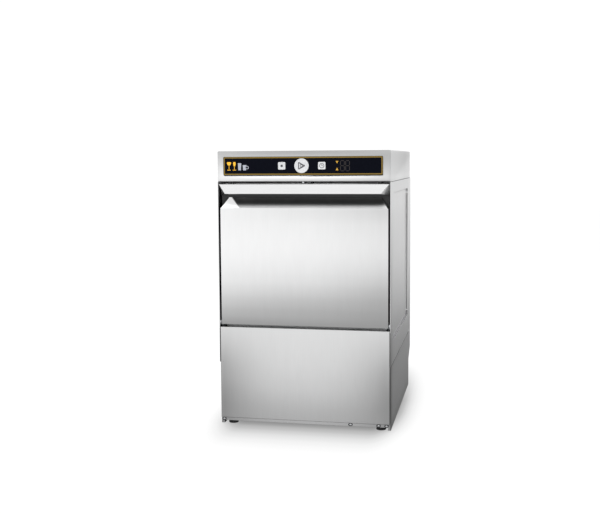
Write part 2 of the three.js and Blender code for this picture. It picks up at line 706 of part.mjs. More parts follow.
// The boiler is a shell that is open at the neck in its lid.
function boiler() {
  const { x, y, bottom, top, radius, wall, neck } = BOILER;
  const skin = (inset) => [
    [radius * 0.6, bottom - 10 + inset], [radius * 0.92 - inset * 0.7, bottom + inset * 0.7],
    [radius - inset, bottom + 12], [radius - inset, top - 12],
    [radius * 0.92 - inset * 0.7, top - inset * 0.7], [radius * 0.6, top + 10 - inset],
    [neck, top + 14 - inset],
  ];
  const outline = [[0, bottom - 14], ...skin(0), ...skin(wall).reverse(), [0, bottom - 14 + wall]];
  const turned = new THREE.LatheGeometry(outline.map(([r, z]) => new THREE.Vector2(r, z)), 28);
  turned.rotateX(Math.PI / 2);
  const vessel = toSolid(turned).translate([x, y, 0]);
  const heaterHead = rod('z', 24, [x, y], [bottom - 34, bottom - 8], 20);
  const thermostat = block([x + 46, x + 62], [y - 14, y + 14], [330, 372]);
  const legs = [-36, 36].map((dx) => block([x + dx - 5, x + dx + 5], [y - 4, y + 4], [FLOOR, bottom + 6]));
  return join(vessel, heaterHead, thermostat, ...legs);
}

function tankHeater() {
  const { x, z } = HEATER;
  const rear = CHAMBER.rear + SHEET;
  const route = [
    [x - 10, 156, z], [x - 10, 100, z], [x - 10, -20, z], [x - 10, -130, z], [x, -142, z], [x + 10, -130, z],
    [x + 10, -20, z], [x + 10, 100, z], [x + 10, 156, z],
  ];
  const loop = pipe(route, 4, 0, 10, 24);
  const plug = rod('y', 16.5, [x, z], [150, rear + 14], 20);
  const flange = rod('y', 24, [x, z], [rear + SEAM, rear + 5], 20);
  const terminals = [-8, 8].map((dx) => rod('y', 2.5, [x + dx, z], [rear + 13, rear + 24], 10));
  return join(loop, plug, flange, ...terminals);
}

const DOSERS = [
  { name: 'detergent', x: -158 },
  { name: 'rinse_aid', x: -88 },
];
const DOSER = { z: 118, front: -256, radius: 27 };

function dosingPump(x) {
  const { z, front, radius } = DOSER;
  const head = rod('y', radius, [x, z], [front, front + 22], 24);
  const motor = rod('y', 16, [x, z], [front + 21, front + 68]);
  const barbs = [-12, 12].map((dx) => rod('z', 3.5, [x + dx, front + 9], [z + 20, z + 40], 12));
  const foot = block([x - 14, x + 14], [front + 4, front + 20], [FLOOR, z - 20]);
  const track = rod('y', radius - 5, [x, z], [front - 1, front + 17], 24);
  const shaftHole = rod('y', 3.4, [x, z], [front + 16, front + 40], 16);
  return cut(join(head, motor, foot, ...barbs), track, shaftHole);
}

// Three rollers on a plate press the hose against the track. The shaft's front end is at the origin.
function dosingRotor() {
  const plate = rod('y', 19, [0, 0], [12, 15], 20);
  const shaft = rod('y', 3, [0, 0], [1, 38], 16);
  const hub = rod('y', 7, [0, 0], [3, 13], 20);
  const orbit = 13.5;
  const rollers = [];
  for (let index = 0; index < 3; index += 1) {
    const angle = index * Math.PI * 2 / 3;
    rollers.push(rod('y', 5.5, [orbit * Math.cos(angle), orbit * Math.sin(angle)], [2, 13], 16));
  }
  return join(plate, shaft, hub, ...rollers);
}

const BOX = { left: 96, right: 212, front: -258, rear: -160, bottom: 44, top: 184, wall: 2 };

function electricsBox() {
  const { left, right, front, rear, bottom, top, wall } = BOX;
  const onRearWall = rear - wall + 1;
  const outside = block([left, right], [front, rear], [bottom, top]);
  const inside = block([left + wall, right - wall], [front - 2, rear - wall], [bottom + wall, top - wall]);
  const contactor = block([104, 150], [-220, onRearWall], [120, 176]);
  const relay = block([160, 204], [-214, onRearWall], [126, 172]);
  const terminals = block([104, 204], [-206, onRearWall], [56, 76]);
  const ducts = block([104, 204], [-196, onRearWall], [88, 108]);
  const legDepth = [front + 8, rear - 10];
  const legs = [left + 4, right - 16].map((x) => block([x, x + 12], legDepth, [FLOOR, bottom + 1]));
  return join(cut(outside, inside), contactor, relay, terminals, ducts, ...legs);
}

function inletValve() {
  const { x, z } = INLET;
  const body = block([x - 14, x + 14], [207, 235], [z - 14, z + 14]);
  const nose = rod('y', 12, [x, z], [231, 268], 20);
  const collar = rod('y', 17, [x, z], [BASE_REAR + SEAM, BASE_REAR + 7], 6);
  const coil = rod('z', 13, [x, 221], [z + 12, z + 46], 18);
  const foot = block([x - 8, x + 8], [211, 231], [FLOOR, z - 12]);
  const bore = rod('y', 9, [x, z], [240, 270], 20);
  return cut(join(body, nose, collar, coil, foot), bore);
}

function cableGland() {
  const { x, z } = CORD;
  const sleeve = rod('y', 10, [x, z], [235, 257], 18);
  const innerNut = rod('y', 15, [x, z], [238, BASE_REAR - SHEET - SEAM], 6);
  const outerNut = rod('y', 15, [x, z], [BASE_REAR + SEAM, BASE_REAR + 6], 6);
  const cap = rod('y', 12, [x, z], [256, 269], 18, 9);
  const bore = rod('y', 5, [x, z], [230, 275], 16);
  return cut(join(sleeve, innerNut, outerNut, cap), bore);
}

// ---------------------------------------------------------------- the machine

function addCasing() {
  add('hood', hood(), 'steel');
  add('front_panel', frontPanel(), 'steel');
  add('base_tray', baseTray(), 'steel');
  add('rear_cover', rearCover(), 'steel');
  for (const { word, sign } of SIDES) {
    add(`side_panel_${word}`, sidePanel(sign), 'steel');
    add(`base_side_${word}`, baseSide(sign), 'steel');
  }
  for (const { word, x, y } of footPlaces()) {
    add(`foot_${word}`, foot(), 'rubber').position.set(x, y, 0);
  }
}

function addControls() {
  add('display_glass', displayGlass(), 'blackGlass');
  add('control_board', controlBoard(), 'board');
  for (const shape of BUTTONS) {
    add(shape.name, button(shape), 'whiteKey');
  }
  add('catch_housing', catchHousing(), 'blackPlastic');
  add('catch_plunger', catchPlunger(), 'fixing');
  for (const { word, sign } of SIDES) {
    add(`door_buffer_${word}`, doorBuffer(sign), 'rubber');
  }
}

function addDoor() {
  const door = new THREE.Group();
  washer.add(door);
  add('door_outer_skin', doorOuterSkin(), 'steel', door);
  add('door_inner_skin', doorInnerSkin(), 'chamberSteel', door);
  add('door_handle', doorHandle(), 'steel', door);
  add('door_seal', doorSeal(), 'rubber', door);
  for (const { word, sign } of SIDES) {
    add(`hinge_arm_${word}`, hingeArm(sign), 'bracket', door);
    add(`hinge_pin_${word}`, hingePin(sign), 'fixing');
    add(`door_spring_${word}`, doorSpring(), 'fixing')
      .position.set(sign * SPRING.x, LEVER_END.y, SPRING.bottom + SPRING.wire);
  }
}

function addChamber() {
  add('wash_tank', washTank(), 'chamberSteel');
  add('chamber_rear_wall', chamberRearWall(), 'chamberSteel');
  add('chamber_ceiling', chamberCeiling(), 'chamberSteel');
  add('tank_filter', tankFilter(), 'chamberSteel');
  for (const { word, sign } of SIDES) {
    add(`chamber_wall_${word}`, chamberWall(sign), 'chamberSteel');
    add(`rack_rail_${word}`, rackRail(sign), 'chamberSteel');
  }
}

function addSprayArms() {
  const { x, y } = ARM_AXIS;
  add('lower_arm_hub', lowerArmHub(), 'greyPlastic');
  add('upper_arm_hub', upperArmHub(), 'greyPlastic');
  const arms = [
    { name: 'lower_wash_arm', shape: WASH_ARM, up: true, z: 264, turn: 35 },
    { name: 'lower_rinse_arm', shape: RINSE_ARM, up: true, z: 280, turn: -40 },
    { name: 'upper_wash_arm', shape: WASH_ARM, up: false, z: 598, turn: -30 },
    { name: 'upper_rinse_arm', shape: RINSE_ARM, up: false, z: 588, turn: 50 },
  ];
  for (const arm of arms) {
    const mesh = add(arm.name, sprayArm({ ...arm.shape, up: arm.up }), 'chamberSteel');
    mesh.position.set(x, y, arm.z);
    mesh.rotation.z = THREE.MathUtils.degToRad(arm.turn);
  }
}

function addMachinery() {
  const impeller = washPumpImpeller();
  add('wash_pump_housing', washPumpHousing(), 'greyPlastic');
  add('wash_pump_impeller', impeller.solid, 'blackPlastic').position.set(...impeller.place);
  add('wash_pump_motor', washPumpMotor(), 'motor');
  add('wash_pipe', washPipe(), 'greyPlastic');
  add('drain_pump', drainPump(), 'blackPlastic');
  add('drain_hose', drainHose(), 'blackPlastic');
  add('boiler', boiler(), 'chamberSteel');
  add('tank_heater', tankHeater(), 'fixing');
  add('electrics_box', electricsBox(), 'greyPlastic');
  add('inlet_valve', inletValve(), 'bluePlastic');
  add('cable_gland', cableGland(), 'blackPlastic');
  for (const { name, x } of DOSERS) {
    add(`${name}_pump`, dosingPump(x), 'bluePlastic');
    add(`${name}_rotor`, dosingRotor(), 'whiteKey').position.set(x, DOSER.front, DOSER.z);
  }
}

addCasing();
addControls();
addDoor();
addChamber();
addSprayArms();
addMachinery();

export default washer;
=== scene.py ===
import json
import math

import bmesh
import bpy
from mathutils import Matrix, Vector


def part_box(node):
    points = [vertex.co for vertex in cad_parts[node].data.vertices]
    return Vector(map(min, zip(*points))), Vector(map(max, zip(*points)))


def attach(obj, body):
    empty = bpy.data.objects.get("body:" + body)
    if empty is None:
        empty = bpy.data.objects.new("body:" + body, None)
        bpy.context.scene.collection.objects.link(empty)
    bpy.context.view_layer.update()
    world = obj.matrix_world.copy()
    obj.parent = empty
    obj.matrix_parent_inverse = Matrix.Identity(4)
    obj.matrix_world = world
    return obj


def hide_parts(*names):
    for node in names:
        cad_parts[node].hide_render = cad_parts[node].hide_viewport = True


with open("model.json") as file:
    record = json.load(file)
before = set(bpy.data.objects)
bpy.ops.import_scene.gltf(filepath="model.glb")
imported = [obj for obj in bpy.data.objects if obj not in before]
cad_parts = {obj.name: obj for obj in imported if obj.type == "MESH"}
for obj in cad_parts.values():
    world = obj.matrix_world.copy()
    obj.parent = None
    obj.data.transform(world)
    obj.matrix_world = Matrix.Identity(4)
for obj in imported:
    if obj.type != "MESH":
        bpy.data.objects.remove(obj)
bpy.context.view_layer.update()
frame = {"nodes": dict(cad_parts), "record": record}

MM = 0.001
BODIES = frame["record"]["behaviour"]["bodies"]
NODE_SLOT = {part["node"]: part["material_slot"] for part in frame["record"]["subparts"]}
NODE_BODY = {node: body for body, nodes in BODIES.items() for node in nodes}
SLOT_COLOUR = {material["slot"]: material["base_color"][:3] for material in frame["record"]["materials"]}

SHEET = 1.2 * MM                # thickness of the bent sheets
BEND = 3.5 * MM                 # outer radius of their softest bends
SKIN = 0.15 * MM                # thickness of what is printed on the strip and the keys
FIRST, SECOND, MIXED = 6, 7, 2  # the colour sockets of a Mix node


def in_scene(name, data):
    """A new object with its data, in the scene."""
    made = bpy.data.objects.new(name, data)
    bpy.context.scene.collection.objects.link(made)
    return made


# ---------------------------------------------------------------- camera, light and floor

LENS = 56.691
SENSOR = 36.0
SHIFT_UP = -0.03
CAMERA_PLACE = Vector((0.4785, -2.6796, 0.7057))
CAMERA_TURN = math.radians(11.4933)
CAMERA_TILT = math.radians(-4.777)
CAMERA_ROLL = math.radians(-0.3724)

# Brightness of the studio from straight down (0) over the horizon (0.5) to straight up (1).
WORLD_FRONT = ((0.0, 0.34), (0.33, 0.46), (0.42, 0.80), (0.48, 1.0), (0.60, 1.0), (1.0, 0.95))
WORLD_REAR = (
    (0.0, 0.10), (0.32, 0.12), (0.385, 0.15), (0.403, 0.155), (0.415, 0.20), (0.427, 0.34), (0.455, 0.58),
    (0.4875, 0.82), (0.52, 0.96), (0.60, 1.0), (1.0, 0.95),
)

# The floor is a light table with a soft shadow painted into its colour and glow round the machine.
# What the painted shadow takes of its light, by the share of the way out.
FLOOR_GREY = (0.06, 0.06, 0.06)
FLOOR_GLOW = 0.93
FLOOR_PAINTED_SHADOW = (
    (0.0, 0.95), (0.30, 0.85), (0.43, 0.60), (0.52, 0.43), (0.59, 0.29), (0.68, 0.165), (0.755, 0.098),
    (0.83, 0.05), (0.92, 0.017), (1.0, 0.0),
)
PAINTED_SHADOW_BESIDE = (0.170, 0.305)    # where the way out begins and ends beside the machine,
PAINTED_SHADOW_AHEAD = (-0.053, -0.553)   # in front of it
PAINTED_SHADOW_BEHIND = (0.0, 1.2)        # and behind it,
PAINTED_SHADOW_FADE = (0.05, 0.55)        # where the loss also grows weaker


def make_camera():
    data = bpy.data.cameras.new("camera")
    data.lens = LENS
    data.sensor_width = SENSOR
    data.shift_y = SHIFT_UP
    camera = in_scene("camera", data)
    turn = Matrix.Rotation(CAMERA_TURN, 4, "Z")
    tilt = Matrix.Rotation(math.pi / 2 + CAMERA_TILT, 4, "X")
    roll = Matrix.Rotation(CAMERA_ROLL, 4, "Z")
    camera.matrix_world = Matrix.Translation(CAMERA_PLACE) @ turn @ tilt @ roll
    bpy.context.scene.camera = camera


def make_world():
    """A white studio. Low down it is darker, most of all behind the machine, as a floor is in a mirror."""
    world = bpy.data.worlds.new("studio")
    world.use_nodes = True
    world.node_tree.nodes.clear()
    nodes = Nodes(world.node_tree, "Generated")
    way = nodes.axes()
    height = nodes.spread(way["Z"], 0.0, 1.0, (-1.0, 1.0))
    depth = nodes.spread(way["Y"], 0.0, 1.0, (0.1, 0.8), "SMOOTHSTEP")
    light = nodes.blend(depth, nodes.ramp(height, WORLD_FRONT), nodes.ramp(height, WORLD_REAR))
    studio = nodes.add("ShaderNodeBackground", Strength=1.1)
    nodes.link(light, studio.inputs["Color"])
    backdrop = nodes.add("ShaderNodeBackground", Color=(1, 1, 1, 1), Strength=1.05)
    seen = nodes.add("ShaderNodeLightPath").outputs["Is Camera Ray"]
    mix = nodes.add("ShaderNodeMixShader")
    for socket, output in enumerate((seen, studio.outputs[0], backdrop.outputs[0])):
        nodes.link(output, mix.inputs[socket])
    nodes.link(mix.outputs[0], nodes.add("ShaderNodeOutputWorld").inputs["Surface"])
    bpy.context.scene.world = world
    bpy.context.scene.view_settings.view_transform = "Standard"


def make_light(name, place, target, size, power):
    """A soft rectangle of light that faces its target and isn't seen itself."""
    data = bpy.data.lights.new(name, "AREA")
    data.shape = "RECTANGLE"
    data.size = size[0]
    data.size_y = size[1]
    data.energy = power
    light = in_scene(name, data)
    light.location = place
    light.rotation_euler = (Vector(target) - Vector(place)).to_track_quat("-Z", "Y").to_euler()
    light.visible_camera = False
    light.visible_glossy = False


def make_floor():
    """A flat floor that gives light, with a soft shadow painted into its colour and glow round the machine,
    and is left out of the machine's mirror images.
    """
    mesh = bpy.data.meshes.new("floor")
    reach = 12.0
    corners = [(-reach, -reach, 0), (reach, -reach, 0), (reach, reach, 0), (-reach, reach, 0)]
    mesh.from_pydata(corners, [], [(0, 1, 2, 3)])
    floor = in_scene("floor", mesh)
    shader = Shader("floor_paper", FLOOR_GREY, 0.9)
    # A soft shadow round the machine is painted into the floor's colour and glow.
    painted_shadow_keep = light_kept_under_painted_shadow(shader)
    shader.tint(FLOOR_GREY, painted_shadow_keep)
    shader.glow(shader.multiply(painted_shadow_keep, FLOOR_GLOW))
    shader.surface["Specular IOR Level"].default_value = 0.1
    mesh.materials.append(shader.material)
    floor.visible_glossy = False


def light_kept_under_painted_shadow(shader):
    """The share of its light that the floor keeps under the painted shadow, from under the machine
    outwards.
    """
    place = shader.axes()
    away = shader.add("ShaderNodeCombineXYZ")
    beside = shader.math("ABSOLUTE", place["X"])
    shader.link(shader.spread(beside, 0.0, 1.0, PAINTED_SHADOW_BESIDE), away.inputs["X"])
    shader.link(shader.spread(place["Y"], 0.0, 1.0, PAINTED_SHADOW_AHEAD), away.inputs["Y"])
    shader.link(shader.spread(place["Y"], 0.0, 1.0, PAINTED_SHADOW_BEHIND), away.inputs["Z"])
    distance = shader.add("ShaderNodeVectorMath")
    distance.operation = "LENGTH"
    shader.link(away.outputs[0], distance.inputs[0])
    # How much light the painted shadow takes, by the distance out; it is weaker towards the rear.
    painted_shadow = shader.ramp(distance.outputs["Value"], FLOOR_PAINTED_SHADOW, "CARDINAL")
    fade = shader.spread(place["Y"], 1.0, 0.1, PAINTED_SHADOW_FADE)
    return shader.math("SUBTRACT", 1.0, shader.multiply(painted_shadow, fade))


# ---------------------------------------------------------------- materials

def fill_ramp(ramp, stops):
    """Sets a colour ramp's grey stops from (place, value) pairs."""
    elements = ramp.color_ramp.elements
    while len(elements) > 1:
        elements.remove(elements[-1])
    elements[0].position = stops[0][0]
    elements[0].color = (stops[0][1],) * 3 + (1,)
    for place, value in stops[1:]:
        element = elements.new(place)
        element.color = (value,) * 3 + (1,)


class Nodes:
    """Short calls for a tree of shader nodes, about the place of the shaded point."""

    def __init__(self, tree, place):
        self.tree = tree
        self.place = self.add("ShaderNodeTexCoord").outputs[place]

    def add(self, kind, **values):
        node = self.tree.nodes.new(kind)
        for name, value in values.items():
            node.inputs[name.replace("_", " ")].default_value = value
        return node

    def link(self, output, target):
        self.tree.links.new(output, target)

    def axes(self):
        """The X, Y and Z of the place."""
        split = self.add("ShaderNodeSeparateXYZ")
        self.link(self.place, split.inputs[0])
        return split.outputs

    def noise(self, scale, stretch=(1, 1, 1), detail=3.0):
        mapping = self.add("ShaderNodeMapping", Scale=stretch)
        self.link(self.place, mapping.inputs["Vector"])
        noise = self.add("ShaderNodeTexNoise", Scale=scale, Detail=detail)
        self.link(mapping.outputs[0], noise.inputs["Vector"])
        return noise.outputs["Fac"]

    def ramp(self, factor, stops, interpolation="LINEAR"):
        node = self.add("ShaderNodeValToRGB")
        fill_ramp(node, stops)
        node.color_ramp.interpolation = interpolation
        self.link(factor, node.inputs[0])
        return node.outputs[0]

    def blend(self, factor, first, second):
        node = self.add("ShaderNodeMix")
        node.data_type = "RGBA"
        self.link(factor, node.inputs["Factor"])
        self.link(first, node.inputs[FIRST])
        self.link(second, node.inputs[SECOND])
        return node.outputs[MIXED]

    def spread(self, output, low, high, source=(0.3, 0.7), interpolation="LINEAR"):
        """Maps the source range to low and high, and holds the ends."""
        start, end = source
        node = self.add("ShaderNodeMapRange", From_Min=start, From_Max=end, To_Min=low, To_Max=high)
        node.interpolation_type = interpolation
        self.link(output, node.inputs["Value"])
        return node.outputs[0]

    def math(self, operation, first, second=0):
        node = self.add("ShaderNodeMath")
        node.operation = operation
        for index, value in enumerate((first, second)):
            if isinstance(value, (int, float)):
                node.inputs[index].default_value = value
            else:
                self.link(value, node.inputs[index])
        return node.outputs[0]

    def multiply(self, first, second):
        return self.math("MULTIPLY", first, second)


class Shader(Nodes):
    """A Principled material and short calls for its looks."""

    def __init__(self, name, colour, roughness, metallic=0.0):
        self.material = bpy.data.materials.new(name)
        self.material.use_nodes = True
        super().__init__(self.material.node_tree, "Object")
        self.surface = self.tree.nodes["Principled BSDF"].inputs
        self.surface["Base Color"].default_value = (*colour, 1)
        self.surface["Roughness"].default_value = roughness
        self.surface["Metallic"].default_value = metallic

    def tint(self, colour, factor):
        """The colour times a grey factor drives the base colour."""
        node = self.add("ShaderNodeVectorMath")
        node.operation = "SCALE"
        node.inputs[0].default_value = colour
        self.link(factor, node.inputs["Scale"])
        self.link(node.outputs[0], self.surface["Base Color"])

    def roughen(self, output):
        self.link(output, self.surface["Roughness"])

    def glow(self, strength):
        self.surface["Emission Color"].default_value = (1, 1, 1, 1)
        self.link(strength, self.surface["Emission Strength"])

    def bump(self, height, strength, distance):
        node = self.add("ShaderNodeBump", Strength=strength, Distance=distance)
        self.link(height, node.inputs["Height"])
        self.link(node.outputs[0], self.surface["Normal"])


# Painted light and shade of the sheets: soft reflection and shade gradients painted into their colour.
# The zone is the height range, in metres, over which the stops (height share, tone) run, at the middle
# and at both edges. half is the distance from the middle to an edge along the axis, and curve says how
# late the middle's tones turn into the edge's. A rim (start, end, tone, top) paints shade on the sheet
# near its edge up to the height top. A run has the painted tones from front to rear, between the two
# ends of depth.
TONE_TOP = 1.6                  # the brightest tone that a ramp can hold
HOOD_PAINTED_LIGHT = {
    "zone": (0.650, 0.730), "half": 0.2275, "curve": 1.6,
    "left": ((0.05, 0.96), (0.125, 1.0), (0.25, 0.98), (0.5, 0.87), (0.75, 0.74), (0.96, 0.66)),
    "middle": ((0.05, 0.84), (0.1, 1.04), (0.16, 1.50), (0.22, 1.58), (0.5, 0.95), (0.8, 0.72),
               (0.9, 0.58), (0.96, 0.55)),
    "right": ((0.05, 0.74), (0.125, 0.79), (0.25, 0.72), (0.5, 0.64), (0.8, 0.57), (0.96, 0.61)),
    "depth": (-0.288, 0.300),
    "run": ((0.0, 1.0), (0.03, 1.159), (0.15, 1.095), (0.32, 1.024), (0.49, 0.921), (0.66, 0.841),
            (0.82, 0.905), (1.0, 1.0)),
}
DOOR_PAINTED_LIGHT = {
    "zone": (0.272, 0.583), "half": 0.2, "curve": 1.3,
    "left": ((0.0, 0.50), (0.07, 0.63), (0.15, 0.75), (0.25, 0.91), (0.35, 1.05), (0.45, 1.12),
             (0.64, 1.17), (0.96, 1.09)),
    "middle": ((0.0, 0.50), (0.07, 0.60), (0.15, 0.67), (0.25, 0.81), (0.35, 0.97), (0.45, 1.06),
               (0.64, 1.13), (0.86, 1.07), (0.96, 0.99)),
    "right": ((0.0, 0.48), (0.07, 0.51), (0.15, 0.56), (0.25, 0.63), (0.35, 0.75), (0.45, 0.88),
              (0.64, 1.0), (0.86, 0.93), (0.96, 0.83)),
}
PANEL_PAINTED_LIGHT = {
    "zone": (0.021, 0.265), "half": 0.215, "curve": 2.4, "rim": (0.2238, 0.2250, 0.5, 0.264),
    "left": ((0.04, 0.63), (0.16, 0.60), (0.4, 0.635), (0.65, 0.68), (0.97, 0.84)),
    "middle": ((0.04, 1.0), (0.16, 1.05), (0.28, 1.11), (0.41, 1.12), (0.65, 1.05), (0.97, 0.94)),
    "right": ((0.04, 0.67), (0.16, 0.63), (0.4, 0.64), (0.65, 0.72), (0.97, 0.83)),
}
SIDE_PAINTED_LIGHT = {
    "zone": (0.172, 0.650), "half": 0.28, "curve": 8.0, "axis": "Y", "rim": (0.2815, 0.2865, 0.55, 0.262),
    "left": ((0.0, 0.50), (0.08, 0.62), (0.16, 0.76), (0.27, 1.0), (0.39, 0.91), (0.52, 0.88), (1.0, 0.90)),
    "middle": ((0.0, 1.05), (0.08, 1.10), (0.16, 1.10), (0.27, 1.18), (0.52, 1.18), (0.64, 1.11),
               (0.77, 1.02), (0.895, 0.97), (1.0, 0.85)),
    "right": ((0.0, 1.0), (1.0, 1.05)),
}
BASE_PAINTED_LIGHT = {
    "zone": (0.003, 0.171), "half": 0.29, "curve": 9.0, "axis": "Y", "rim": (0.264, 0.269, 0.5, 0.170),
    "left": ((0.0, 0.16), (0.2, 0.22), (0.98, 0.30), (0.99, 0.16)),
    "middle": ((0.0, 0.56), (0.1, 0.62), (0.2, 0.72), (0.98, 0.78), (0.99, 0.30)),
    "right": ((0.0, 0.56), (0.1, 0.62), (0.2, 0.72), (0.98, 0.80), (0.99, 0.30)),
}
# The slope under the finger recess has a painted reflection of the dark grip: (share of its height,
# tone). Painted light and a painted glow lie on its left end, up to a line that starts at the top and
# leans inwards going down.
SLOPE_PAINTED_REFLECTION = ((0.0, 1.0), (0.2, 1.0), (0.32, 0.62), (0.41, 0.32), (0.50, 0.22), (1.0, 0.22))
SLOPE_PAINTED_LIGHT_FROM = -0.197
SLOPE_PAINTED_LIGHT_LEAN = 0.92
SLOPE_PAINTED_GLOW = 0.75
SLOPE_PAINTED_LIGHT_TONE = 0.3
GRAIN = {"X": (0.02, 1, 1), "Z": (1, 1, 0.02)}     # how the brushing draws its noise out


def brushed_steel(name, colour, grain="Z", roughness=0.3, painted_shading=None):
    """Fine brushed sheet. Its optional tables paint soft reflection and shade gradients into its colour."""
    shader = Shader(name, colour, roughness, 1.0)
    fine = shader.noise(900, GRAIN[grain], 2.0)
    cloud = shader.noise(60, tuple(0.25 if axis == grain else 1.0 for axis in "XYZ"), 4.0)
    streak = shader.spread(fine, 0.985, 1.012)
    factor = shader.multiply(streak, shader.spread(cloud, 0.99, 1.01))
    # Painted light and shade: the tables' gradients scale the colour.
    if painted_shading:
        factor = shader.multiply(factor, painted_sheet_light(shader, painted_shading))
    shader.tint(colour, factor)
    shader.roughen(shader.spread(fine, roughness - 0.02, roughness + 0.02))
    shader.bump(fine, 0.04, 0.0001)
    return shader.material


def slope_steel_painted_light(name, colour):
    """The sheet under the finger recess: a painted reflection of the dark grip, with painted light and glow
    at its left end.
    """
    shader = Shader(name, colour, 0.35, 1.0)
    place = shader.axes()
    height = shader.spread(place["Z"], 0.0, 1.0, (FOLD, LEDGE))
    painted_reflection = shader.ramp(height, SLOPE_PAINTED_REFLECTION)
    inwards = shader.multiply(shader.math("SUBTRACT", LEDGE, place["Z"]), SLOPE_PAINTED_LIGHT_LEAN)
    beyond = shader.math("SUBTRACT", place["X"], shader.math("ADD", inwards, SLOPE_PAINTED_LIGHT_FROM))
    # Painted light on the left end, fading out beyond the leaning line.
    lit = shader.spread(beyond, 1.0, 0.0, (0.0, 4 * MM))
    cloud = shader.spread(shader.noise(60, detail=3.0), 0.97, 1.03)
    tone = shader.math("MAXIMUM", shader.multiply(lit, SLOPE_PAINTED_LIGHT_TONE), painted_reflection)
    shader.tint(colour, shader.multiply(cloud, tone))
    # Painted glow where the light is painted.
    shader.glow(shader.multiply(lit, SLOPE_PAINTED_GLOW))
    shader.bump(shader.noise(900, GRAIN["X"], 2.0), 0.04, 0.0001)
    return shader.material


def painted_sheet_light(shader, painted_shading):
    """The painted light and shade of a sheet, as a grey factor, from its zone's bottom to its top and from
    edge to edge.
    """
    place = shader.axes()
    height = shader.spread(place["Z"], 0.0, 1.0, painted_shading["zone"])
    tones = {name: tone_ramp(shader, height, painted_shading[name]) for name in ("left", "middle", "right")}
    half = painted_shading["half"]
    across = place[painted_shading.get("axis", "X")]
    tone = tones["middle"]
    for name, edge in (("left", -half), ("right", half)):
        share = shader.math("POWER", shader.spread(across, 0.0, 1.0, (0.0, edge)), painted_shading["curve"])
        tone = shader.blend(share, tone, tones[name])
    # Painted shade near the edge, and painted tones from front to rear.
    if "rim" in painted_shading:
        tone = shader.multiply(tone, painted_rim_shade(shader, across, place["Z"], *painted_shading["rim"]))
    if "run" in painted_shading:
        backwards = shader.spread(place["Y"], 0.0, 1.0, painted_shading["depth"])
        run = shader.ramp(backwards, share_of_top(painted_shading["run"]))
        tone = shader.multiply(tone, shader.multiply(run, TONE_TOP))
    return shader.multiply(tone, TONE_TOP)


def share_of_top(stops):
    """A ramp holds values up to one only, so it holds each tone's share of the brightest one."""
    return [(place, tone / TONE_TOP) for place, tone in stops]


def tone_ramp(shader, height, stops):
    return shader.ramp(height, share_of_top(stops), "CARDINAL")


def painted_rim_shade(shader, across, up, start, end, tone, top):
    """One, but less near the sheet's edge up to a height: painted shade along the edge."""
    at_rim = shader.spread(shader.math("ABSOLUTE", across), 0.0, 1.0 - tone, (start, end))
    under_top = shader.spread(up, 1.0, 0.0, (top, top + 1 * MM))
    return shader.math("SUBTRACT", 1.0, shader.multiply(at_rim, under_top))


def moulded(name, colour, roughness, grain_scale=1400, depth=0.25):
    """Moulded plastic or rubber with a fine spark-eroded texture."""
    shader = Shader(name, colour, roughness)
    texture = shader.noise(grain_scale, detail=3.0)
    cloud = shader.noise(35, detail=2.0)
    shader.tint(colour, shader.spread(cloud, 0.92, 1.06))
    shader.roughen(shader.spread(texture, roughness - 0.05, roughness + 0.06))
    shader.bump(texture, depth, 0.0001)
    return shader.material


def painted_metal(name, colour, roughness):
    """Paint with a slight orange peel."""
    shader = Shader(name, colour, roughness, 0.35)
    peel = shader.noise(420, detail=2.0)
    cloud = shader.noise(25, detail=3.0)
    shader.tint(colour, shader.spread(cloud, 0.9, 1.08))
    shader.roughen(shader.spread(peel, roughness - 0.06, roughness + 0.06))
    shader.bump(peel, 0.2, 0.0002)
    return shader.material


def strip_glass(name, colour):
    """Dark glass with a faint haze."""
    shader = Shader(name, colour, 0.12)
    haze = shader.noise(240, detail=3.0)
    shader.tint(colour, shader.spread(haze, 0.9, 1.1))
    shader.roughen(shader.spread(haze, 0.1, 0.17))
    shader.surface["Specular IOR Level"].default_value = 0.01
    return shader.material


def printed(name, colour, roughness=0.35, metallic=0.0):
    """Ink or a lit symbol on the strip."""
    shader = Shader(name, colour, roughness, metallic)
    grain = shader.noise(700, detail=2.0)
    shader.tint(colour, shader.spread(grain, 0.94, 1.05))
    return shader.material


def circuit_board(name, colour):
    """Lacquered board with a grid of tracks."""
    shader = Shader(name, colour, 0.45)
    checks = shader.add("ShaderNodeTexBrick", Scale=260.0, Mortar_Size=0.03)
    shader.link(shader.place, checks.inputs["Vector"])
    shader.tint(colour, shader.spread(checks.outputs["Fac"], 0.85, 1.6, (0, 1)))
    shader.roughen(shader.spread(shader.noise(300), 0.35, 0.55))
    return shader.material


SLOT_FINISHES = {
    "casing_steel": (brushed_steel,),
    "chamber_steel": (brushed_steel, "X", 0.34),
    "fixing_steel": (brushed_steel, "Z", 0.26),
    "bracket_steel": (painted_metal, 0.45),
    "black_glass": (strip_glass,),
    "white_key": (moulded, 0.45),
    "rubber": (moulded, 0.8, 500, 0.4),
    "black_plastic": (moulded, 0.5),
    "grey_plastic": (moulded, 0.5),
    "blue_plastic": (moulded, 0.4),
    "board": (circuit_board,),
    "motor_paint": (painted_metal, 0.5),
}
RETUNED = {"black_glass": (0.0035, 0.004, 0.007), "white_key": (0.57, 0.58, 0.59)}


def slot_materials():
    """One finish for each of the record's slots, for nodes with no finish of their own."""
    colours = {**SLOT_COLOUR, **RETUNED}
    return {slot: make(slot, colours[slot], *values) for slot, (make, *values) in SLOT_FINISHES.items()}


# ---------------------------------------------------------------- mesh tools

def extent(node):
    """The lowest and highest value of a node on each axis."""
    low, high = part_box(node)
    return [(low[axis], high[axis]) for axis in range(3)]


def new_mesh(vertices=(), faces=()):
    mesh = bmesh.new()
    made = [mesh.verts.new(vertex) for vertex in vertices]
    for face in faces:
        mesh.faces.new([made[index] for index in face])
    return mesh


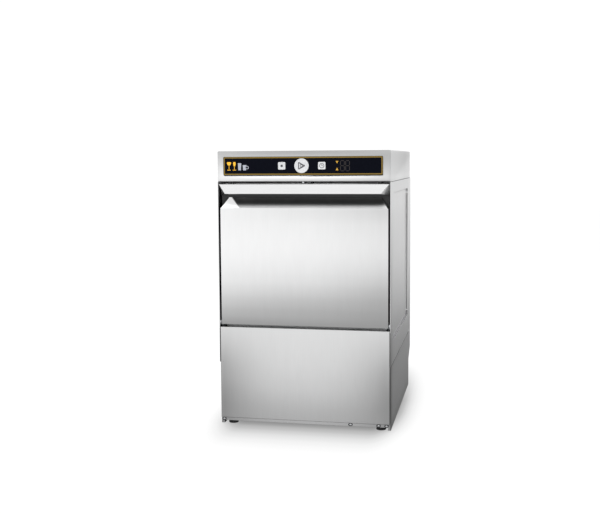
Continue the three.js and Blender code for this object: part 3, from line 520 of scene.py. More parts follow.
def box_mesh(xs, ys, zs):
    mesh = bmesh.new()
    size = Matrix.Diagonal((xs[1] - xs[0], ys[1] - ys[0], zs[1] - zs[0], 1))
    middle = Vector([(a + b) / 2 for a, b in (xs, ys, zs)])
    bmesh.ops.create_cube(mesh, size=1, matrix=Matrix.Translation(middle) @ size)
    return mesh


def edges_where(mesh, test):
    """The edges whose both ends pass the test."""
    return [edge for edge in mesh.edges if all(test(vertex.co) for vertex in edge.verts)]


def near(value, target):
    return abs(value - target) < 0.01 * MM


def bend(mesh, edges, radius=BEND):
    bmesh.ops.bevel(
        mesh, geom=edges, offset=radius, segments=4, profile=0.5, affect="EDGES", clamp_overlap=True,
    )


def smooth_by_angle(mesh, limit=math.radians(34)):
    """Smooth faces, with every edge above the limit kept sharp."""
    for face in mesh.faces:
        face.smooth = True
    for edge in mesh.edges:
        if len(edge.link_faces) == 2 and edge.calc_face_angle(0) > limit:
            edge.smooth = False


def face_outwards(mesh, outward=None):
    """Turns all normals to the outside. An open sheet needs the direction that most of it faces."""
    bmesh.ops.recalc_face_normals(mesh, faces=mesh.faces)
    if outward is None:
        balance = mesh.calc_volume(signed=True)
    else:
        balance = sum(face.calc_area() * face.normal.dot(Vector(outward)) for face in mesh.faces)
    if balance < 0:
        bmesh.ops.reverse_faces(mesh, faces=mesh.faces)


def piece(name, mesh, material, body, replaced=None, outward=None):
    """Makes the object, and gives it its place in the frame."""
    face_outwards(mesh, outward)
    smooth_by_angle(mesh)
    data = bpy.data.meshes.new(name)
    mesh.to_mesh(data)
    mesh.free()
    data.materials.append(material)
    made = in_scene(name, data)
    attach(made, body)
    if replaced:
        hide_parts(replaced)
    return made


def stand_in(node, mesh, material, outward=None):
    """A finer piece in place of a CAD node, on the same body."""
    return piece(f"{node}_fine", mesh, material, NODE_BODY[node], node, outward)


def rounded_copy(node, material, width=0.5 * MM):
    """The same shape as the CAD node in whole faces, with its edges rounded."""
    mesh = bmesh.new()
    mesh.from_mesh(frame["nodes"][node].data)
    bmesh.ops.transform(mesh, matrix=frame["nodes"][node].matrix_world, verts=mesh.verts)
    bmesh.ops.remove_doubles(mesh, verts=mesh.verts, dist=0.005 * MM)
    bmesh.ops.dissolve_limit(mesh, angle_limit=math.radians(1), verts=mesh.verts, edges=mesh.edges)
    copy = stand_in(node, mesh, material)
    soften(copy, width)
    flatten_shading(copy)
    return copy


def paint(made, material, test):
    """Gives another material to the faces whose middle passes the test."""
    made.data.materials.append(material)
    for polygon in made.data.polygons:
        if test(polygon.center):
            polygon.material_index = len(made.data.materials) - 1


def thicken(made, thickness=SHEET, even=True):
    """Gives an open surface the thickness of its sheet, inwards, and breaks its cut edges."""
    wall = made.modifiers.new("sheet", "SOLIDIFY")
    wall.thickness = thickness
    wall.offset = -1
    wall.use_even_offset = even
    soften(made, 0.3 * MM, 1)


def flatten_shading(made, behind=None):
    """Keeps a bend from shading the flat beside it, everywhere or only behind a depth."""
    flat = made.modifiers.new("flat", "WEIGHTED_NORMAL")
    flat.keep_sharp = True
    flat.weight = 90
    if behind is not None:
        group = made.vertex_groups.new(name="flats")
        chosen = [vertex.index for vertex in made.data.vertices if vertex.co.y > behind]
        group.add(chosen, 1.0, "REPLACE")
        flat.vertex_group = group.name


def soften(made, width, steps=2):
    """Rounds every sharp edge a little."""
    rounding = made.modifiers.new("edges", "BEVEL")
    rounding.width = width
    rounding.segments = steps
    rounding.limit_method = "ANGLE"
    rounding.angle_limit = math.radians(32)
    rounding.harden_normals = True


def turned(profile, centre=(0, 0, 0), steps=48):
    """A closed round body about Z from (radius, height) points."""
    mesh = bmesh.new()
    ring = [mesh.verts.new((radius, 0, height)) for radius, height in profile]
    edges = [mesh.edges.new(pair) for pair in zip(ring, ring[1:])]
    bmesh.ops.spin(
        mesh, geom=ring + edges, axis=(0, 0, 1), cent=(0, 0, 0), dvec=(0, 0, 0), angle=2 * math.pi,
        steps=steps,
    )
    bmesh.ops.remove_doubles(mesh, verts=mesh.verts, dist=0.001 * MM)
    bmesh.ops.translate(mesh, verts=mesh.verts, vec=centre)
    return mesh


def rounded_ring(us, vs, radius, steps=6):
    """Points round a rectangle with rounded corners, anticlockwise."""
    corners = ((us[1], vs[0], -1, 1), (us[1], vs[1], -1, -1), (us[0], vs[1], 1, -1), (us[0], vs[0], 1, 1))
    points = []
    for index, (u, v, inwards_u, inwards_v) in enumerate(corners):
        start = math.pi / 2 * (index - 1)
        middle = (u + inwards_u * radius, v + inwards_v * radius)
        for step in range(steps + 1):
            angle = start + math.pi / 2 * step / steps
            points.append((middle[0] + radius * math.cos(angle), middle[1] + radius * math.sin(angle)))
    return points


def push_out(mesh, extruded, offset):
    """Moves what an extrusion has just made."""
    moved = [item for item in extruded["geom"] if isinstance(item, bmesh.types.BMVert)]
    bmesh.ops.translate(mesh, verts=moved, vec=offset)


def plate(outline, front, depth):
    """A flat plate in the XZ plane whose face is at y = front and whose back is depth behind it."""
    mesh = bmesh.new()
    face = mesh.faces.new([mesh.verts.new((x, front, z)) for x, z in outline])
    push_out(mesh, bmesh.ops.extrude_face_region(mesh, geom=[face]), (0, depth, 0))
    return mesh


def add_mesh(target, extra):
    """Adds the faces of one mesh to another."""
    copies = {vertex: target.verts.new(vertex.co) for vertex in extra.verts}
    for face in extra.faces:
        target.faces.new([copies[vertex] for vertex in face.verts])
    extra.free()


def join_rings(mesh, rings, closed=False):
    """Makes the faces between each ring of vertices and the next one."""
    following = rings[1:] + rings[:1] if closed else rings[1:]
    walls = []
    for first, second in zip(rings, following):
        for index in range(len(first)):
            after = (index + 1) % len(first)
            walls.append(mesh.faces.new((first[index], first[after], second[after], second[index])))
    return walls


def band(outer, inner, front, depth):
    """A flat ring between two outlines with the same number of points."""
    mesh = bmesh.new()
    rings = []
    for outline, y in ((outer, front), (inner, front), (inner, front + depth), (outer, front + depth)):
        rings.append([mesh.verts.new((x, y, z)) for x, z in outline])
    join_rings(mesh, rings, True)
    return mesh


def cut(target, mesh):
    """Takes a closed mesh out of the target for good."""
    bmesh.ops.recalc_face_normals(mesh, faces=mesh.faces)
    data = bpy.data.meshes.new("cutter")
    mesh.to_mesh(data)
    mesh.free()
    cutter = in_scene("cutter", data)
    boolean = target.modifiers.new("cut", "BOOLEAN")
    boolean.operation = "DIFFERENCE"
    boolean.object = cutter
    boolean.solver = "EXACT"
    bpy.context.view_layer.update()
    result = target.evaluated_get(bpy.context.evaluated_depsgraph_get())
    data = bpy.data.meshes.new_from_object(result)
    target.modifiers.remove(boolean)
    target.data = data
    bpy.data.objects.remove(cutter)


# ---------------------------------------------------------------- casing

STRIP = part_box("display_glass")
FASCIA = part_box("hood")[0].y
SKIRT_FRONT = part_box("base_side_left")[0].y


def hood(material):
    """The lid: top, fascia, sides and back in one bent sheet, with a lip turned in under the fascia."""
    (x0, x1), (y0, y1), (z0, z1) = extent("hood")
    overlap, lip = 6 * MM, 20 * MM
    u0, u1 = STRIP[0].x + overlap, STRIP[1].x - overlap
    v0, v1 = STRIP[0].z + overlap, STRIP[1].z - overlap
    corners = [
        (x0, y0, z0), (x1, y0, z0), (x1, y0, z1), (x0, y0, z1),
        (x0, y1, z0), (x1, y1, z0), (x1, y1, z1), (x0, y1, z1),
        (u0, y0, v0), (u1, y0, v0), (u1, y0, v1), (u0, y0, v1),
        (x0, y0 + lip, z0), (x1, y0 + lip, z0),
    ]
    faces = [
        (0, 1, 9, 8), (1, 2, 10, 9), (2, 3, 11, 10), (3, 0, 8, 11),
        (3, 2, 6, 7), (1, 13, 5, 6, 2), (0, 3, 7, 4, 12), (5, 4, 7, 6), (0, 12, 13, 1),
    ]
    mesh = new_mesh(corners, faces)
    upright = []
    for edge in mesh.edges:
        first, second = (vertex.co for vertex in edge.verts)
        if near(first.x, second.x) and near(first.y, second.y) and abs(first.x) > 0.95 * x1:
            upright.append(edge)
    rim = edges_where(mesh, lambda co: near(co.z, z1))
    bend(mesh, upright + rim, 3 * MM)
    bend(mesh, edges_where(mesh, lambda co: near(co.z, z0) and near(co.y, y0)))
    lid = stand_in("hood", mesh, material, (0, 0, 1))
    thicken(lid)
    flatten_shading(lid, y0 + 2.9 * MM)


def pan(node, material):
    """A front panel bent back on all four sides, most softly along its top."""
    xs, ys, zs = extent(node)
    mesh = box_mesh(xs, ys, zs)
    back = [face for face in mesh.faces if near(face.calc_center_median().y, ys[1])]
    bmesh.ops.delete(mesh, geom=back, context="FACES_ONLY")
    bent = [edge for edge in mesh.edges if not edge.is_boundary]
    top = edges_where(mesh, lambda co: near(co.z, zs[1]))
    bend(mesh, [edge for edge in bent if edge not in top], 1.8 * MM)
    fold = edges_where(mesh, lambda co: near(co.z, zs[1]) and near(co.y, ys[0]))
    bend(mesh, [edge for edge in fold if not edge.is_boundary])
    thicken(stand_in(node, mesh, material, (0, -1, 0)))


def side_sheet(node, sign, material, fold_shade):
    """The upper side panel: its field is pressed inwards, with a vent slot in the rear of the pressing."""
    xs, ys, zs = extent(node)
    face = max(xs) if sign > 0 else min(xs)
    depth, reach = 4.5 * MM, 1.2 * MM
    field_y, field_z = (-215 * MM, 205 * MM), (232 * MM, 618 * MM)
    mesh = bmesh.new()
    corners = ((ys[0], zs[0]), (ys[1], zs[0]), (ys[1], zs[1]), (ys[0], zs[1]))
    outline = [mesh.verts.new((face, y, z)) for y, z in corners]
    steps = (
        (-reach - 3 * MM, 0.0), (-reach, 0.0), (-0.4 * MM, 0.06), (0.0, 0.2), (0.1 * MM, 0.8),
        (0.5 * MM, 0.94), (reach, 1.0), (reach + 3 * MM, 1.0),
    )
    rings = []
    for inset, sink in steps:
        us = (field_y[0] + inset, field_y[1] - inset)
        vs = (field_z[0] + inset, field_z[1] - inset)
        points = rounded_ring(us, vs, 12 * MM - inset, 8)
        rings.append([mesh.verts.new((face - sign * depth * sink, y, z)) for y, z in points])
    # Painted shade: the slanted walls in the pressing's lower corners take the dark second material.
    for wall in join_rings(mesh, rings):
        across = [vertex.co.x for vertex in wall.verts]
        slanted = max(across) - min(across) > 0.01 * MM
        if slanted and wall.calc_center_median().z < field_z[0] + 12 * MM:
            wall.material_index = 1
    mesh.faces.new(rings[-1])
    hole = rings[0]
    outline_edges = [mesh.edges.new(pair) for pair in zip(outline, outline[1:] + outline[:1])]
    hole_edges = [mesh.edges.get(pair) for pair in zip(hole, hole[1:] + hole[:1])]
    bmesh.ops.triangle_fill(mesh, use_beauty=True, edges=outline_edges + hole_edges)
    cut_slot(mesh, face, sign, depth, field_y[1], (field_z[0] + 14 * MM, field_z[1] - 14 * MM))
    front = edges_where(mesh, lambda co: near(co.y, ys[0]))
    turned_in = [edge for edge in outline_edges if edge not in front]
    push_out(mesh, bmesh.ops.extrude_edge_only(mesh, edges=turned_in), (-sign * 10 * MM, 0, 0))
    bend(mesh, turned_in, 1.6 * MM)
    # Painted shade: the top bend and its turned-in edge take the dark second material, as a gap under the
    # hood.
    for item in mesh.faces:
        if item.calc_center_median().z > zs[1] - 1.3 * MM:
            item.material_index = 1
    sheet = stand_in(node, mesh, material, (sign, 0, 0))
    sheet.data.materials.append(fold_shade)
    thicken(sheet)
    flatten_shading(sheet)


def cut_slot(mesh, face, sign, depth, rear, ends):
    """Opens the rear wall of the pressing between two heights."""
    for height in ends:
        near_slot = [item for item in mesh.faces if abs(item.calc_center_median().y - rear) < 2 * MM]
        geometry = near_slot + list({edge for item in near_slot for edge in item.edges})
        geometry += list({vertex for item in near_slot for vertex in item.verts})
        bmesh.ops.bisect_plane(mesh, geom=geometry, plane_co=(0, 0, height), plane_no=(0, 0, 1))
    shallow, deep = face - sign * depth * 0.15, face - sign * depth * 0.85
    opened = []
    for item in mesh.faces:
        middle = item.calc_center_median()
        in_slot = ends[0] < middle.z < ends[1] and abs(middle.y - rear) < 0.5 * MM
        if in_slot and min(shallow, deep) < middle.x < max(shallow, deep):
            opened.append(item)
    bmesh.ops.delete(mesh, geom=opened, context="FACES_ONLY")


def screw_head(name, centre, radius, material, at_rear=False):
    """A domed screw head with a slot across it, facing the front or the rear."""
    thick = radius * 0.45
    profile = (
        (0, thick), (radius * 0.5, thick * 0.94), (radius * 0.85, thick * 0.62), (radius, thick * 0.2),
        (radius, 0), (0, 0),
    )
    mesh = turned(profile, steps=28)
    reach, half = radius * 0.75, radius * 0.13
    slot = box_mesh((-reach, reach), (-half, half), (thick * 0.5, thick * 1.5))
    face = Matrix.Rotation(math.radians(-90 if at_rear else 90), 4, "X")
    place = Matrix.Translation(centre) @ face @ Matrix.Rotation(math.radians(35), 4, "Z")
    bmesh.ops.transform(mesh, matrix=place, verts=mesh.verts)
    bmesh.ops.transform(slot, matrix=place, verts=slot.verts)
    cut(piece(name, mesh, material, "cabinet"), slot)


# ---------------------------------------------------------------- door

FOLD = 580.5 * MM               # where the door's front folds back into the finger recess
LEDGE = 609 * MM
WEB = -268 * MM                 # plane of the recess's back
MITRE = 18.5 * MM
NOTCH = 20 * MM                 # clearance for the hinges in the door's lower corners
NOTCH_TOP = 284 * MM
BESIDE_HINGE = 2.9 * MM
RELIEF = 1.5 * MM

# The faces of the door's sheet, by the names of their points: those that run across the door, by
# their two long edges, and those of each end.
DOOR_ACROSS = (("fold", "slant"), ("slant", "top"), ("top", "top_back"), ("low_back", "low"))
DOOR_ENDS = (
    ("fold", "web", "slant"),
    ("web", "top", "slant"),
    ("corner", "notch", "notch_top", "notch_back", "web_back", "web", "fold"),
    ("web", "web_back", "top_back", "top"),
)


def door_end(sign):
    """The points of one end of the door's sheet, by name."""
    xs, (y0, y1), (z0, z1) = extent("door_outer_skin")
    half = xs[1] if sign > 0 else xs[0]
    inner = half - sign * NOTCH
    beside = y0 + BESIDE_HINGE
    return {
        "low": (inner, y0, z0),
        "relief": (inner, y0, z0 + RELIEF),
        "low_back": (inner, y1, z0),
        "corner": (half, y0, z0 + RELIEF),
        "notch": (half, beside, z0 + RELIEF),
        "notch_top": (half, beside, NOTCH_TOP),
        "notch_back": (half, y1, NOTCH_TOP),
        "fold": (half, y0, FOLD),
        "slant": (half - sign * MITRE, WEB, LEDGE),
        "web": (half, WEB, FOLD),
        "top": (half, WEB, z1),
        "top_back": (half, y1, z1),
        "web_back": (half, y1, FOLD),
    }


def door_skin(material, slope_painted_light, shade):
    """The door's outer sheet, folded back along its top into a finger recess with slanted ends."""
    left_end, right_end = door_end(-1), door_end(1)
    left = {name: number for number, name in enumerate(left_end)}
    right = {name: number + len(left) for name, number in left.items()}
    faces = [
        (left["low"], right["low"], right["relief"], left["relief"]),
        (left["corner"], left["relief"], right["relief"], right["corner"], right["fold"], left["fold"]),
    ]
    faces += [(left[first], right[first], right[second], left[second]) for first, second in DOOR_ACROSS]
    faces += [[side[name] for name in names] for side in (left, right) for names in DOOR_ENDS]
    mesh = new_mesh([*left_end.values(), *right_end.values()], faces)
    mesh.verts.ensure_lookup_table()
    bmesh.ops.recalc_face_normals(mesh, faces=mesh.faces)

    def edge(first, second):
        return mesh.edges.get((mesh.verts[first], mesh.verts[second]))

    bent = [edge(left[name], right[name]) for name in ("fold", "low")]
    bent += [edge(side["corner"], side["fold"]) for side in (left, right)]
    bent += [edge(side["fold"], side["slant"]) for side in (left, right)]
    bent += [edge(left[name], right[name]) for name in ("slant", "top")]
    bend(mesh, bent, 2.6 * MM)
    skin = stand_in("door_outer_skin", mesh, material, (0, -1, 0))
    front, far_end = left_end["fold"][1], right_end["fold"][0] - MITRE * 0.8

    # Painted shade: behind the grip and at the recess's slanted ends the sheet takes the dark shade
    # material; the slope takes its painted reflection and light.
    def in_shade(middle):
        behind_grip = middle.z > LEDGE and middle.y > WEB - 1 * MM
        at_end = middle.z > FOLD and abs(middle.x) > far_end and middle.y > front + 2 * MM
        return behind_grip or at_end

    paint(skin, slope_painted_light, lambda middle: middle.z > FOLD - 0.4 * MM and middle.y > front + 0.8 * MM)
    paint(skin, shade, in_shade)
    thicken(skin)


def door_handle(material):
    """The grip leans forwards. Its ends are mitred, and it is open below for the fingers."""
    (x0, x1), (y0, y1), (_, z1) = extent("door_handle")
    lip, flap, mitre = 619 * MM, 615 * MM, 20 * MM
    back = WEB - 0.3 * MM
    points, faces = [], []
    for sign, half in ((-1, x0), (1, x1)):
        low_half = half - sign * mitre
        inner = half - sign * 2 * MM
        points += [
            (half, FASCIA, z1), (half, back, z1), (low_half, y0, lip), (inner, back, flap),
            (inner, back, z1), (inner, y1, z1),
        ]
    left, right = range(0, 6), range(6, 12)
    faces.append((left[0], left[2], right[2], right[0]))
    faces.append((left[0], right[0], right[1], right[4], left[4], left[1]))
    faces.append((left[4], right[4], right[5], left[5]))
    for side in (left, right):
        faces.append((side[0], side[2], side[3]))
        faces.append((side[0], side[3], side[1]))
    mesh = new_mesh(points, faces)
    mesh.verts.ensure_lookup_table()
    bent = [mesh.edges.get((mesh.verts[left[0]], mesh.verts[right[0]]))]
    for side in (left, right):
        bent.append(mesh.edges.get((mesh.verts[side[0]], mesh.verts[side[2]])))
    bend(mesh, bent, 0.9 * MM)
    thicken(stand_in("door_handle", mesh, material, (0, -1, 1)), 1.0 * MM, False)


def door_seal(material):
    """A hollow rubber profile with two rounded lips, all round the door."""
    xs, ys, zs = extent("door_seal")
    width, depth = 6.3 * MM, ys[1] - ys[0]
    profile = (
        (0.0, 0.0), (0.10, 0.62), (0.28, 0.98), (0.42, 0.74), (0.58, 0.74), (0.72, 0.98), (0.90, 0.62),
        (1.0, 0.0),
    )
    mesh = bmesh.new()
    rings = []
    for across, height in profile:
        inset = width * across
        us, vs = (xs[0] + inset, xs[1] - inset), (zs[0] + inset, zs[1] - inset)
        outline = rounded_ring(us, vs, 12 * MM - inset, 8)
        rings.append([mesh.verts.new((x, ys[0] + depth * height, z)) for x, z in outline])
    join_rings(mesh, rings, True)
    stand_in("door_seal", mesh, material)


# ---------------------------------------------------------------- control strip

GLASS_FRONT = STRIP[0].y
BUTTON_Z = 691 * MM
KEY_HOLLOW = 0.3 * MM
KEYS = {                        # the middle's X and half the width, in millimetres, and the outline
    "stop_button": (-54.5, 9.6, "square"),
    "start_button": (-2.3, 18.8, "round"),
    "timer_button": (50.7, 9.6, "square"),
}


def disc_outline(x, z, radius, steps=56):
    """Points round a circle."""
    angles = [2 * math.pi * step / steps for step in range(steps)]
    return [(x + radius * math.cos(angle), z + radius * math.sin(angle)) for angle in angles]


def key_outline(name, grow, corner=2.5 * MM):
    """The outline of a key's cap, moved outwards by a distance."""
    x, reach, shape = KEYS[name]
    x, reach = x * MM, reach * MM + grow
    if shape == "round":
        return disc_outline(x, BUTTON_Z, reach)
    return rounded_ring((x - reach, x + reach), (BUTTON_Z - reach, BUTTON_Z + reach), corner + grow, 6)


def key_cap(name, material):
    """A key with a rounded rim and a slightly hollow face, on a flange behind the fascia."""
    y0, y1 = extent(name)[1]
    flange = y1 - 1.5 * MM
    steps = (
        (-2.6, y0 + 0.22 * MM), (-1.2, y0 + 0.05 * MM), (-0.7, y0), (-0.3, y0 + 0.08 * MM),
        (-0.08, y0 + 0.3 * MM), (0.0, y0 + 0.6 * MM), (0.0, flange), (3.0, flange), (3.0, y1),
    )
    mesh = bmesh.new()
    rings = []
    for grow, y in steps:
        rings.append([mesh.verts.new((u, y, v)) for u, v in key_outline(name, grow * MM)])
    join_rings(mesh, rings)
    hub = mesh.verts.new((KEYS[name][0] * MM, y0 + KEY_HOLLOW, BUTTON_Z))
    face_edge = rings[0]
    for first, second in zip(face_edge, face_edge[1:] + face_edge[:1]):
        mesh.faces.new((hub, second, first))
    mesh.faces.new(rings[-1])
    stand_in(name, mesh, material)


def strip_outline(inset, radius):
    """A rounded outline at a distance inside the strip's edge."""
    us = (STRIP[0].x + inset, STRIP[1].x - inset)
    vs = (STRIP[0].z + inset, STRIP[1].z - inset)
    return rounded_ring(us, vs, radius)


def strip_glass_plate(material):
    """The black glass of the strip, with a hole round each key."""
    mesh = plate(strip_outline(0, 3 * MM), GLASS_FRONT, STRIP[1].y - GLASS_FRONT)
    glass = stand_in("display_glass", mesh, material)
    for name in KEYS:
        cut(glass, plate(key_outline(name, 0.4 * MM), GLASS_FRONT - 1 * MM, 4 * MM))


def ink(name, shapes, material, body="cabinet", front=GLASS_FRONT):
    """Flat symbols on the strip or on a key. A shape is an outline, or a pair of them for a ring."""
    mesh = bmesh.new()
    for shape in shapes:
        if isinstance(shape, tuple):
            add_mesh(mesh, band(shape[0], shape[1], front - SKIN, SKIN * 1.3))
        else:
            add_mesh(mesh, plate(shape, front - SKIN, SKIN * 1.3))
    piece(name, mesh, material, body)


def bar_outline(start, end, width):
    """A straight stroke with square ends, from one point to another."""
    (x0, z0), (x1, z1) = start, end
    length = math.hypot(x1 - x0, z1 - z0)
    dx, dz = -(z1 - z0) / length * width / 2, (x1 - x0) / length * width / 2
    return [(x0 + dx, z0 + dz), (x0 - dx, z0 - dz), (x1 - dx, z1 - dz), (x1 + dx, z1 + dz)]


def strokes(points, width, closed=False):
    """Joined strokes along a line of points."""
    ends = zip(points, points[1:] + points[:1]) if closed else zip(points, points[1:])
    return [bar_outline(start, end, width) for start, end in ends]


def strip_border(material):
    """The thin line printed round the strip."""
    border = (strip_outline(1.1 * MM, 2.4 * MM), strip_outline(4.0 * MM, 0.6 * MM))
    ink("strip_border", [border], material)


def key_symbols(dark, grey):
    """A cross on the stop key, a play triangle on the start key and a clock on the timer key."""
    at = {name: (values[0] * MM, BUTTON_Z) for name, values in KEYS.items()}
    front = {name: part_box(name)[0].y for name in KEYS}
    x, z = at["stop_button"]
    arm, width = 2.4 * MM, 2.8 * MM
    cross = [bar_outline((x - arm, z - arm), (x + arm, z + arm), width)]
    cross += [bar_outline((x - arm, z + arm), (x + arm, z - arm), width)]
    x, z = at["start_button"]
    large = [(x - 7.5 * MM, z - 8.6 * MM), (x - 7.5 * MM, z + 8.6 * MM), (x + 8.5 * MM, z)]
    small = [(x - 2.8 * MM, z - 4.2 * MM), (x - 2.8 * MM, z + 4.2 * MM), (x + 4.6 * MM, z)]
    triangle = strokes(large, 2.4 * MM, True) + strokes(small, 1.3 * MM, True)
    x, z = at["timer_button"]
    rim = (disc_outline(x, z, 6.6 * MM, 40), disc_outline(x, z, 4.8 * MM, 40))
    hands = strokes([(x, z + 3.8 * MM), (x, z), (x + 3.0 * MM, z)], 1.7 * MM)
    symbols = (
        ("stop_symbol", "stop_button", cross, dark),
        ("start_symbol", "start_button", triangle, dark),
        ("timer_symbol", "timer_button", [rim] + hands, grey),
    )
    for name, key, shapes, material in symbols:
        ink(name, shapes, material, key, front[key] + KEY_HOLLOW)


def glass_symbols(yellow, pale):
    """Two goblets, a tumbler and a cup with a handle, at the strip's left end."""
    base, top = 680.5 * MM, 701.5 * MM
    stem, foot_reach = 1.3 * MM, 4.4 * MM
    goblets = []
    for x, wide, deep in ((-195.5 * MM, 5.6 * MM, 9.5 * MM), (-181 * MM, 3.4 * MM, 12 * MM)):
        neck = top - deep
        left = [(x - wide * 0.86, top), (x - wide, top - deep * 0.4), (x - wide * 0.62, neck + deep * 0.16)]
        right = [(2 * x - u, v) for u, v in reversed(left)]
        goblets.append(left + [(x, neck)] + right)
        goblets.append(bar_outline((x, neck + 1 * MM), (x, base), stem))
        goblets.append(bar_outline((x - foot_reach, base), (x + foot_reach, base), stem))
    ink("goblet_symbol", goblets, yellow)
    cups = []
    low = base - 0.6 * MM
    for x, wide, rim in ((-167 * MM, 4.6 * MM, top - 3 * MM), (-153.5 * MM, 5.2 * MM, top - 8 * MM)):
        narrow = wide * 0.76
        cups.append([(x - wide, rim), (x - narrow, low), (x + narrow, low), (x + wide, rim)])
    handle = (-146.5 * MM, 687 * MM)
    cups.append((disc_outline(*handle, 4.2 * MM, 24), disc_outline(*handle, 2.6 * MM, 24)))
    ink("tumbler_symbol", cups, pale)


def display_symbols(lit, faint):
    """Level arrows beside an unlit display of two digits, at the strip's right end."""
    half, width, side = 3.6 * MM, 1.5 * MM, 4.9 * MM
    x = 90.2 * MM
    down = [(x - half, 702.8 * MM), (x, 696.4 * MM), (x + half, 702.8 * MM)]
    up = [(x - half, 679.0 * MM), (x + half, 679.0 * MM), (x, 686.2 * MM)]
    ink("level_arrows", [down, up], lit)
    digits = []
    for x in (104 * MM, 117.5 * MM):
        for z in (677.5 * MM, 690.5 * MM, 703.5 * MM):
            digits.append(bar_outline((x - half, z), (x + half, z), width))
        for u in (x - side, x + side):
            for low, high in ((678.8 * MM, 689.2 * MM), (691.8 * MM, 702.2 * MM)):
                digits.append(bar_outline((u, low), (u, high), width))
    ink("unlit_digits", digits, faint)


# ---------------------------------------------------------------- small parts seen from outside

def foot(node, material):
    """A ribbed rubber pad under a hexagon and a threaded stud."""
    low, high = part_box(node)
    x, y = (low.x + high.x) / 2, (low.y + high.y) / 2
    radius = (high.x - low.x) / 2
    pad = [(0, 0), (radius - 2.2 * MM, 0), (radius - 0.6 * MM, 0.5 * MM), (radius, 1.6 * MM)]
    for rib in range(3):
        height = (2.4 + rib * 1.5) * MM
        pad += [(radius, height), (radius - 0.7 * MM, height + 0.35 * MM), (radius, height + 0.75 * MM)]
    pad += [(radius - 0.5 * MM, 7.2 * MM), (radius - 1.8 * MM, 7.7 * MM)]
    pad += [(4 * MM, 7.7 * MM), (4 * MM, 9.6 * MM)]
    turns, pitch = 24, 1.25 * MM
    for turn in range(turns):
        height = 9.9 * MM + turn * pitch
        pad += [(3.4 * MM, height), (4 * MM, height + pitch * 0.5)]
    pad += [(3.2 * MM, high.z - 0.3 * MM), (2.6 * MM, high.z), (0, high.z)]
    mesh = turned(pad, (x, y, 0), 44)
    add_mesh(mesh, hexagon(x, y, 9 * MM, (7.5 * MM, 9.7 * MM)))
    stand_in(node, mesh, material)


def hexagon(x, y, radius, zs):
    """A hexagon with chamfered corners."""
    mesh = bmesh.new()
    corners = [mesh.verts.new((u, v, zs[0])) for u, v in disc_outline(x, y, radius, 6)]
    face = mesh.faces.new(corners)
    push_out(mesh, bmesh.ops.extrude_face_region(mesh, geom=[face]), (0, 0, zs[1] - zs[0]))
    bmesh.ops.recalc_face_normals(mesh, faces=mesh.faces)
    bmesh.ops.bevel(mesh, geom=mesh.edges[:], offset=0.4 * MM, segments=2, profile=0.5, affect="EDGES")
    return mesh


def rear_louvres(material):
    """Rows of short raised hoods pressed into the rear cover, open along their lower edges."""
    _, ys, zs = extent("rear_cover")
    rows, columns = 6, 8
    row_pitch, column_pitch = 15 * MM, 38 * MM
    lowest = zs[0] + 92 * MM
    mesh = bmesh.new()
    for row in range(rows):
        for column in range(columns):
            x = (column - (columns - 1) / 2) * column_pitch
            add_mesh(mesh, louvre(x, ys[1], lowest + row * row_pitch))
    piece("rear_louvres", mesh, material, "cabinet")


def louvre(x, y, z, width=26 * MM, height=6 * MM, proud=2.2 * MM):
    """A half hood that stands out at its lower edge and runs into the sheet at its top and ends."""
    mesh = bmesh.new()
    across, down = 10, 5
    grid = []
    for row in range(down + 1):
        fall = row / down
        line = []
        for column in range(across + 1):
            side = column / across * 2 - 1
            bulge = proud * math.sin(fall * math.pi / 2) * (1 - side ** 6)
            line.append(mesh.verts.new((x + side * width / 2, y + bulge, z + height * (1 - fall))))
        grid.append(line)
    for upper, lower in zip(grid, grid[1:]):
        for column in range(across):
            mesh.faces.new((upper[column], upper[column + 1], lower[column + 1], lower[column]))
    return mesh


def make_screws(material, rubber):
    """Screws on oval washers along the tray's front, and three down each side of the rear cover."""
    tray_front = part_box("base_tray")[0].y
    inner, outer, thick = 2.6 * MM, 4.0 * MM, 0.8 * MM
    ring = ((inner, 0), (outer, 0), (outer, thick), (inner, thick), (inner, 0))
    lying = Matrix.Rotation(math.pi / 2, 4, "X") @ Matrix.Diagonal((1.5, 1, 1, 1))
    for index, x in enumerate((-218.0, 123, 196.6, 217.5)):
        centre = (x * MM, tray_front, 17 * MM)
        screw_head(f"tray_screw_{index + 1}", centre, 2.4 * MM, material)
        washer = turned(ring)
        bmesh.ops.transform(washer, matrix=Matrix.Translation(centre) @ lying, verts=washer.verts)
        piece(f"tray_washer_{index + 1}", washer, rubber, "cabinet")
    xs, ys, zs = extent("rear_cover")
    inset, lowest = 9 * MM, zs[0] + 40 * MM
    for index, share in enumerate((0.08, 0.5, 0.97)):
        z = max(zs[0] + share * (zs[1] - zs[0]), lowest)
        for word, x in (("left", xs[0] + inset), ("right", xs[1] - inset)):
            screw_head(f"cover_screw_{word}_{index + 1}", (x, ys[1], z), 3.8 * MM, material, at_rear=True)


# ---------------------------------------------------------------- the whole machine

# What shows when the door is open, and at the back, beside the pieces above.
INSIDE_PIECES = (
    "door_inner_skin", "chamber_wall_left", "chamber_wall_right", "chamber_rear_wall",
    "chamber_ceiling", "wash_tank", "tank_filter", "rack_rail_left", "rack_rail_right",
    "lower_arm_hub", "upper_arm_hub", "lower_wash_arm", "lower_rinse_arm", "upper_wash_arm",
    "upper_rinse_arm", "hinge_arm_left", "hinge_arm_right", "hinge_pin_left", "hinge_pin_right",
    "catch_housing", "catch_plunger", "door_buffer_left", "door_buffer_right", "inlet_valve",
    "cable_gland", "drain_hose",
)


def dress_cad_nodes(finishes):
    """Every CAD node gets its slot's procedural finish."""
    for name, made in frame["nodes"].items():
        made.data.materials.clear()
        made.data.materials.append(finishes[NODE_SLOT[name]])
        for polygon in made.data.polygons:
            polygon.material_index = 0


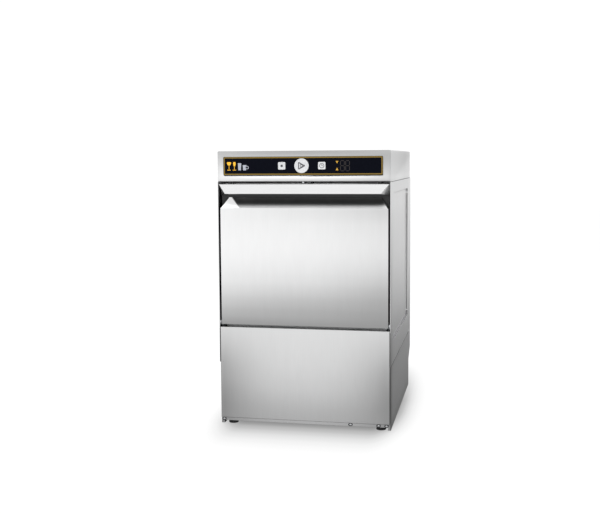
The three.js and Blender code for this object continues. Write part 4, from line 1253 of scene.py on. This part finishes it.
def build():
    make_camera()
    make_world()
    make_floor()
    make_light("key", place=(-1.6, -2.2, 2.6), target=(0, 0, 0.3), size=(2.4, 1.6), power=30)
    make_light("top", place=(0.0, 0.0, 3.4), target=(0, 0, 0), size=(5.0, 5.0), power=150)

    finishes = slot_materials()
    steel = (0.80, 0.802, 0.804)
    # Sheets with painted light and shade: reflection and shade gradients in their colour.
    hood_steel = brushed_steel("hood_steel", steel, painted_shading=HOOD_PAINTED_LIGHT)
    door_steel = brushed_steel("door_steel", steel, painted_shading=DOOR_PAINTED_LIGHT)
    handle_steel = brushed_steel("handle_steel", steel, "X", 0.24)
    panel_steel = brushed_steel("panel_steel", steel, painted_shading=PANEL_PAINTED_LIGHT)
    side_steel = brushed_steel("side_steel", steel, painted_shading=SIDE_PAINTED_LIGHT)
    base_steel = brushed_steel("base_steel", (0.95, 0.952, 0.955), painted_shading=BASE_PAINTED_LIGHT)
    tray_steel = brushed_steel("tray_steel", (0.60, 0.602, 0.605), painted_shading=PANEL_PAINTED_LIGHT)
    # Painted shade for the side sheets' pressing corners and top edges.
    fold_shade = painted_metal("fold_shade", (0.16, 0.16, 0.165), 0.5)
    # Painted shade for the finger recess behind the grip.
    recess_shade = moulded("recess_shade", (0.032, 0.033, 0.034), 0.6)
    dress_cad_nodes(finishes)

    hood(hood_steel)
    pan("front_panel", panel_steel)
    for node, sign in (("side_panel_left", -1), ("side_panel_right", 1)):
        side_sheet(node, sign, side_steel, fold_shade)
    door_skin(door_steel, slope_steel_painted_light("slope_steel_painted_light", steel), recess_shade)
    door_handle(handle_steel)
    door_seal(finishes["rubber"])
    for node in ("base_side_left", "base_side_right"):
        skirt = rounded_copy(node, base_steel)
        # The skirt's front face takes the tray's steel, with its painted light and shade.
        paint(skirt, tray_steel, lambda middle: middle.y < SKIRT_FRONT + 1 * MM)
    rounded_copy("base_tray", tray_steel)
    rounded_copy("rear_cover", finishes["casing_steel"])
    for node in INSIDE_PIECES:
        rounded_copy(node, finishes[NODE_SLOT[node]], 0.35 * MM)

    strip_glass_plate(finishes["black_glass"])
    strip_border(printed("gold_ink", (0.20, 0.125, 0.015), metallic=0.2))
    for name in KEYS:
        key_cap(name, finishes["white_key"])
    key_symbols(printed("dark_ink", (0.06, 0.06, 0.065)), printed("grey_ink", (0.17, 0.175, 0.18)))
    glass_symbols(printed("yellow_ink", (0.85, 0.45, 0.02)), printed("pale_ink", (0.35, 0.37, 0.42)))
    faint_ink = printed("faint_ink", (0.014, 0.008, 0.007), roughness=0.12)
    display_symbols(printed("lit_yellow", (0.50, 0.28, 0.02)), faint_ink)

    for node in ("foot_front_left", "foot_front_right", "foot_rear_left", "foot_rear_right"):
        foot(node, finishes["rubber"])
    rear_louvres(finishes["casing_steel"])
    make_screws(finishes["fixing_steel"], finishes["rubber"])


build()
